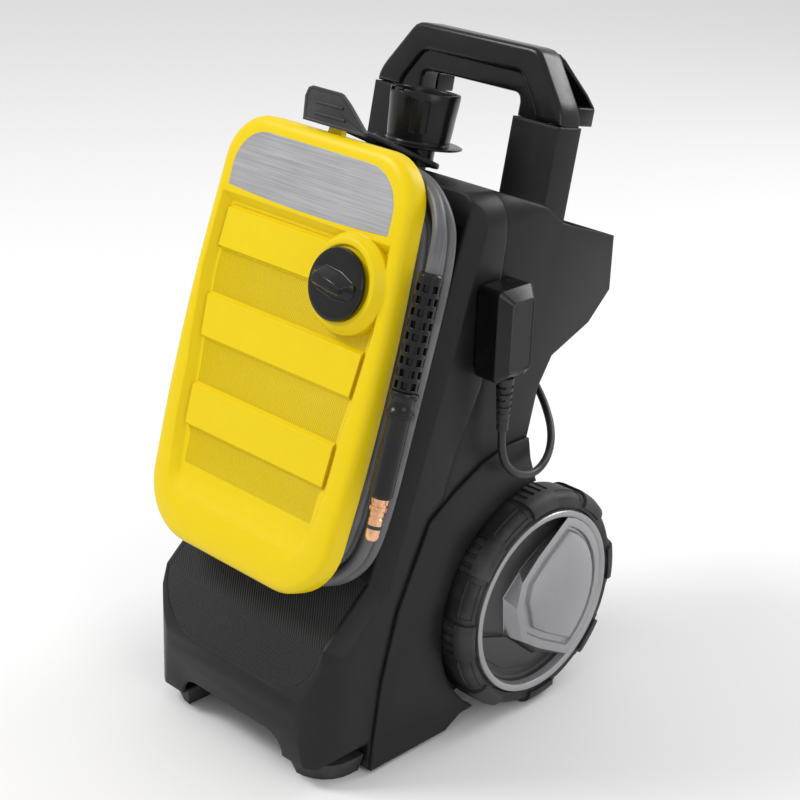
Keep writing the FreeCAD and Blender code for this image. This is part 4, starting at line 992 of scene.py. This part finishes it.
def band_tab(black):
    """Pull tab: a plate with one sloping side, a raised border and two finger slits."""
    tab = block("tab", [(-33, 75.4), (47, 75.4), (48.5, 79), (20, 100), (9, 106.5), (5, 107.4),
                        (-30, 107.4), (-35, 105), (-37.2, 97)], -6.6, 3.6)
    inset(2.2, 0)
    inset(0.8, -1.0)
    rest()
    for low, left, right in ((83, -20, 19), (93, -22, 13)):
        middle, high = low + 1.1, low + 2.2
        slit = block("slit", [(left, low), (right, low), (right + 1.2, middle), (right, high), (left, high),
                              (left - 1.2, middle)], -4.4, 1.8)
        rest()
        joined(tab, slit)
    pick(tab, "EDGE", lambda p, d: p.z > -3.2 and abs(d.z) < 0.1)
    round_corners(0.5, 2)
    rest()
    smooth(tab, 40)
    dressed(tab, "band", [black], "black_rubber", "band_tab")
    return laid(tab, COVER)


# ---------------------------------------------------------------- plug
PLUG = Matrix.Translation((0, 0.004, 0.43)) @ ACROSS


def mains_plug(black):
    """Plug body with broad chamfers and a thin raised line round its outer face."""
    corner = 6.0
    half_wide, half_high = 24, 45
    points = []
    for sx, sy, start in ((1, 1, 0), (-1, 1, 90), (-1, -1, 180), (1, -1, 270)):
        points += quarter_round(sx * (half_wide - corner), sy * (half_high - corner), corner, start, 18)
    plug = block("plug", points, 132.6, 24.5)
    for rise, wide, high in ((9.4, 16 / half_wide, 36 / half_high), (0.9, 0.96, 0.975), (0, 0.94, 0.965),
                             (-0.7, 0.97, 0.98)):
        raise_face(rise)
        grow(wide, high)
    rest()
    smooth(plug, 30)
    laid(plug, PLUG)
    return dressed(plug, "machine", [black], "black_plastic", "mains_plug")


def plug_boot(black):
    """Tapered bend relief under the plug, with staggered slots."""
    def radius(z):
        return 5.4 + 3.5 * (z - 330.2) / 54.6

    levels = [(335 + 6.6 * i, 338.6 + 6.6 * i) for i in range(7)]
    profile = [(4.1, 330.2), (4.9, 330.2), (radius(331.5), 331.5)]
    for low, high in levels:
        profile += [(radius(low), low), (radius(high), high)]
    profile += [(radius(384.8), 384.8), (4.1, 384.8)]
    boot = turned("boot", profile + profile[:1], 48)
    windows(boot, 5, levels, 2, 0.78, 1.7)
    smooth(boot, 32)
    laid(boot, Matrix.Translation((0.15025, 0.004, 0)))
    return dressed(boot, "machine", [black], "black_rubber", "plug_boot")


# ---------------------------------------------------------------- housings and handle
SOFTENED = (("front_housing", "machine", 5.0, 4), ("rear_housing", "machine", 5.0, 4), ("base_shell",
                                                                                        "machine", 3.5, 3),
            ("foot_pads", "machine", 3.0, 3), ("textured_front_panel", "machine", 0.6, 2),
            ("lead_hook_upper", "machine", 2.0, 3), ("lead_hook_lower", "lead_hook", 2.0, 3),
            ("band_loop", "machine", 1.6, 3), ("plug_holder", "machine", 0.8, 2))
SLOTS = {part["node"]: part["material_slot"] for part in frame["record"]["subparts"]}


def softened(name, body, width, segments, found):
    """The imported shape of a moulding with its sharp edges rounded."""
    source = NODES[name]
    piece = source.copy()
    piece.data = source.data.copy()
    bpy.context.scene.collection.objects.link(piece)
    piece.parent = None
    place = source.matrix_world.copy()
    piece.matrix_world = Matrix()
    piece.data.transform(place)
    piece.name = piece.data.name = name + "_moulding"
    piece.data.materials.clear()
    take(piece)
    bpy.ops.object.mode_set(mode="EDIT")
    tidy_mesh(0.01 * MM)
    bpy.ops.mesh.dissolve_limited(angle_limit=math.radians(1))
    rest()
    finish_modifier(piece, "BEVEL", width=width * MM, segments=segments, limit_method="ANGLE",
                    angle_limit=math.radians(22), use_clamp_overlap=True)
    smooth(piece, 40)
    return dressed(piece, body, [found[SLOTS[name]]], SLOTS[name], name)


POST = Matrix.Translation((0, 0.110, 0.600)) @ Matrix.Rotation(-POST_LEAN, 4, "X")
ARCH = ((121.5, 0.3), (120.5, 8), (117, 16), (113, 22), (86, 58), (82, 62.5), (76, 65.4), (70, 66.2))
ARCH_UNDER = ((88, 0.3), (87.2, 6), (84, 12), (68, 34), (64, 38), (58, 40))
LINER_OVER = ((93, 0.4), (92, 8), (73, 38), (62, 44))
LINER_UNDER = ((64.2, 0.4), (64.2, 13), (62.8, 17.4), (60, 20), (56, 21))
STRAP = ((16, 63), (24, 58), (31, 46), (37, 30), (40.3, 18), (37.5, 17), (34.5, 28), (28.5, 43),
         (22.5, 53.5), (16, 58))
STRAP_LEANS = ((53, 70, 34), (40, 53, 24), (25, 40, 9))
COLLAR = ((15, 0.4), (40.3, 0.4), (40.3, 18), (15, 18))


def handle_grip(black):
    """Arched grip: a broad outer band, a recessed liner under it, and a strap and collar behind each leg."""
    def arch(name, over, under, half):
        line = list(over) + [(-x, y) for x, y in over[::-1]] + [(-x, y) for x, y in under] + list(under[::-1])
        return block(name, line, -half, 2 * half)

    band = arch("band", ARCH, ARCH_UNDER, 16.4)
    pick(band, "EDGE", lambda p, d: abs(p.z) > 16.3)
    round_corners(5, 5)
    rest()
    liner = arch("liner", LINER_OVER, LINER_UNDER, 12.5)
    pick(liner, "EDGE", lambda p, d: abs(p.z) > 12.4 and abs(p.x) < 70 and p.y < 42)
    round_corners(4, 4)
    rest()
    joined(band, liner)
    laid(band, Matrix.Rotation(math.pi / 2, 4, "X"))
    for line, leans in ((STRAP, STRAP_LEANS), (COLLAR, ())):
        for start in (66, -116):
            strut = block("strut", line, start, 50)
            for low, high, lean in leans:
                pick(strut, "VERT", lambda p, n: abs(p.z) > 100 and low <= p.y < high)
                move(0, 0, -lean if start > 0 else lean)
            rest()
            finish_modifier(strut, "BEVEL", width=1.5 * MM, segments=3, limit_method="ANGLE",
                            angle_limit=math.radians(35))
            laid(strut, ACROSS)
            joined(band, strut)
    smooth(band, 40)
    dressed(band, "handle", [black], "black_plastic", "handle_grip")
    return laid(band, POST)


# ---------------------------------------------------------------- camera and studio
def camera():
    lens = bpy.data.cameras.new("camera")
    lens.lens = 80.964
    lens.sensor_width = 36
    eye = bpy.data.objects.new("camera", lens)
    turn = (Matrix.Rotation(math.radians(43.81), 4, "Z") @ Matrix.Rotation(math.radians(66.973), 4, "X")
            @ Matrix.Rotation(math.radians(2.138), 4, "Z"))
    eye.matrix_world = Matrix.Translation((1.158782, -1.188229, 1.019589)) @ turn
    bpy.context.scene.collection.objects.link(eye)
    bpy.context.scene.camera = eye


def area_light(name, place, size, power, aim=(0, 0, 0.3)):
    light = bpy.data.lights.new(name, "AREA")
    light.size = size
    light.energy = power
    lamp = bpy.data.objects.new(name, light)
    lamp.location = place
    lamp.rotation_euler = (Vector(place) - Vector(aim)).to_track_quat("Z", "Y").to_euler()
    bpy.context.scene.collection.objects.link(lamp)


def studio():
    rest()
    bpy.ops.mesh.primitive_plane_add(size=24, location=(0, 0, -0.0005))
    floor = bpy.context.object
    floor.name = "floor"
    world = bpy.data.worlds.new("studio")
    world.use_nodes = True
    world.node_tree.nodes["Background"].inputs["Color"].default_value = (1, 1, 1, 1)
    world.node_tree.nodes["Background"].inputs["Strength"].default_value = 0.78
    bpy.context.scene.world = world
    area_light("key_left", (-1.5, -1.6, 2.6), 1.0, 52)
    area_light("fill_right", (2.6, -0.6, 1.5), 1.4, 14)
    area_light("rim_back", (0.6, 2.4, 2.0), 1.2, 30)
    bpy.context.scene.view_settings.view_transform = "Standard"


camera()
found = finishes()
finish_nodes(found)
hose, lead = cords()
hose.data.materials.append(found["hose_grey"])
lead.data.materials.append(found["lead_black"])
front_cover(found["cover_yellow"], found["cover_ribs"])
badge_plate(found["badge_metal"])
switch_knob(found["knob_black"])
wheels(found)
hose_end = [bend_sleeve(found["black_plastic"]), connector_sleeve(found["black_plastic"]),
            brass_nipple(found["brass"]), NODES["nipple_ring"]]
lance_holder(found["black_plastic"])
band_tab(found["black_rubber"])
lead_end = [plug_boot(found["black_rubber"]), mains_plug(found["black_plastic"])]
handle_grip(found["black_plastic"])
for name, body, width, segments in SOFTENED:
    softened(name, body, width, segments, found)
studio()
hose_route()[0]
lead_route()[0]
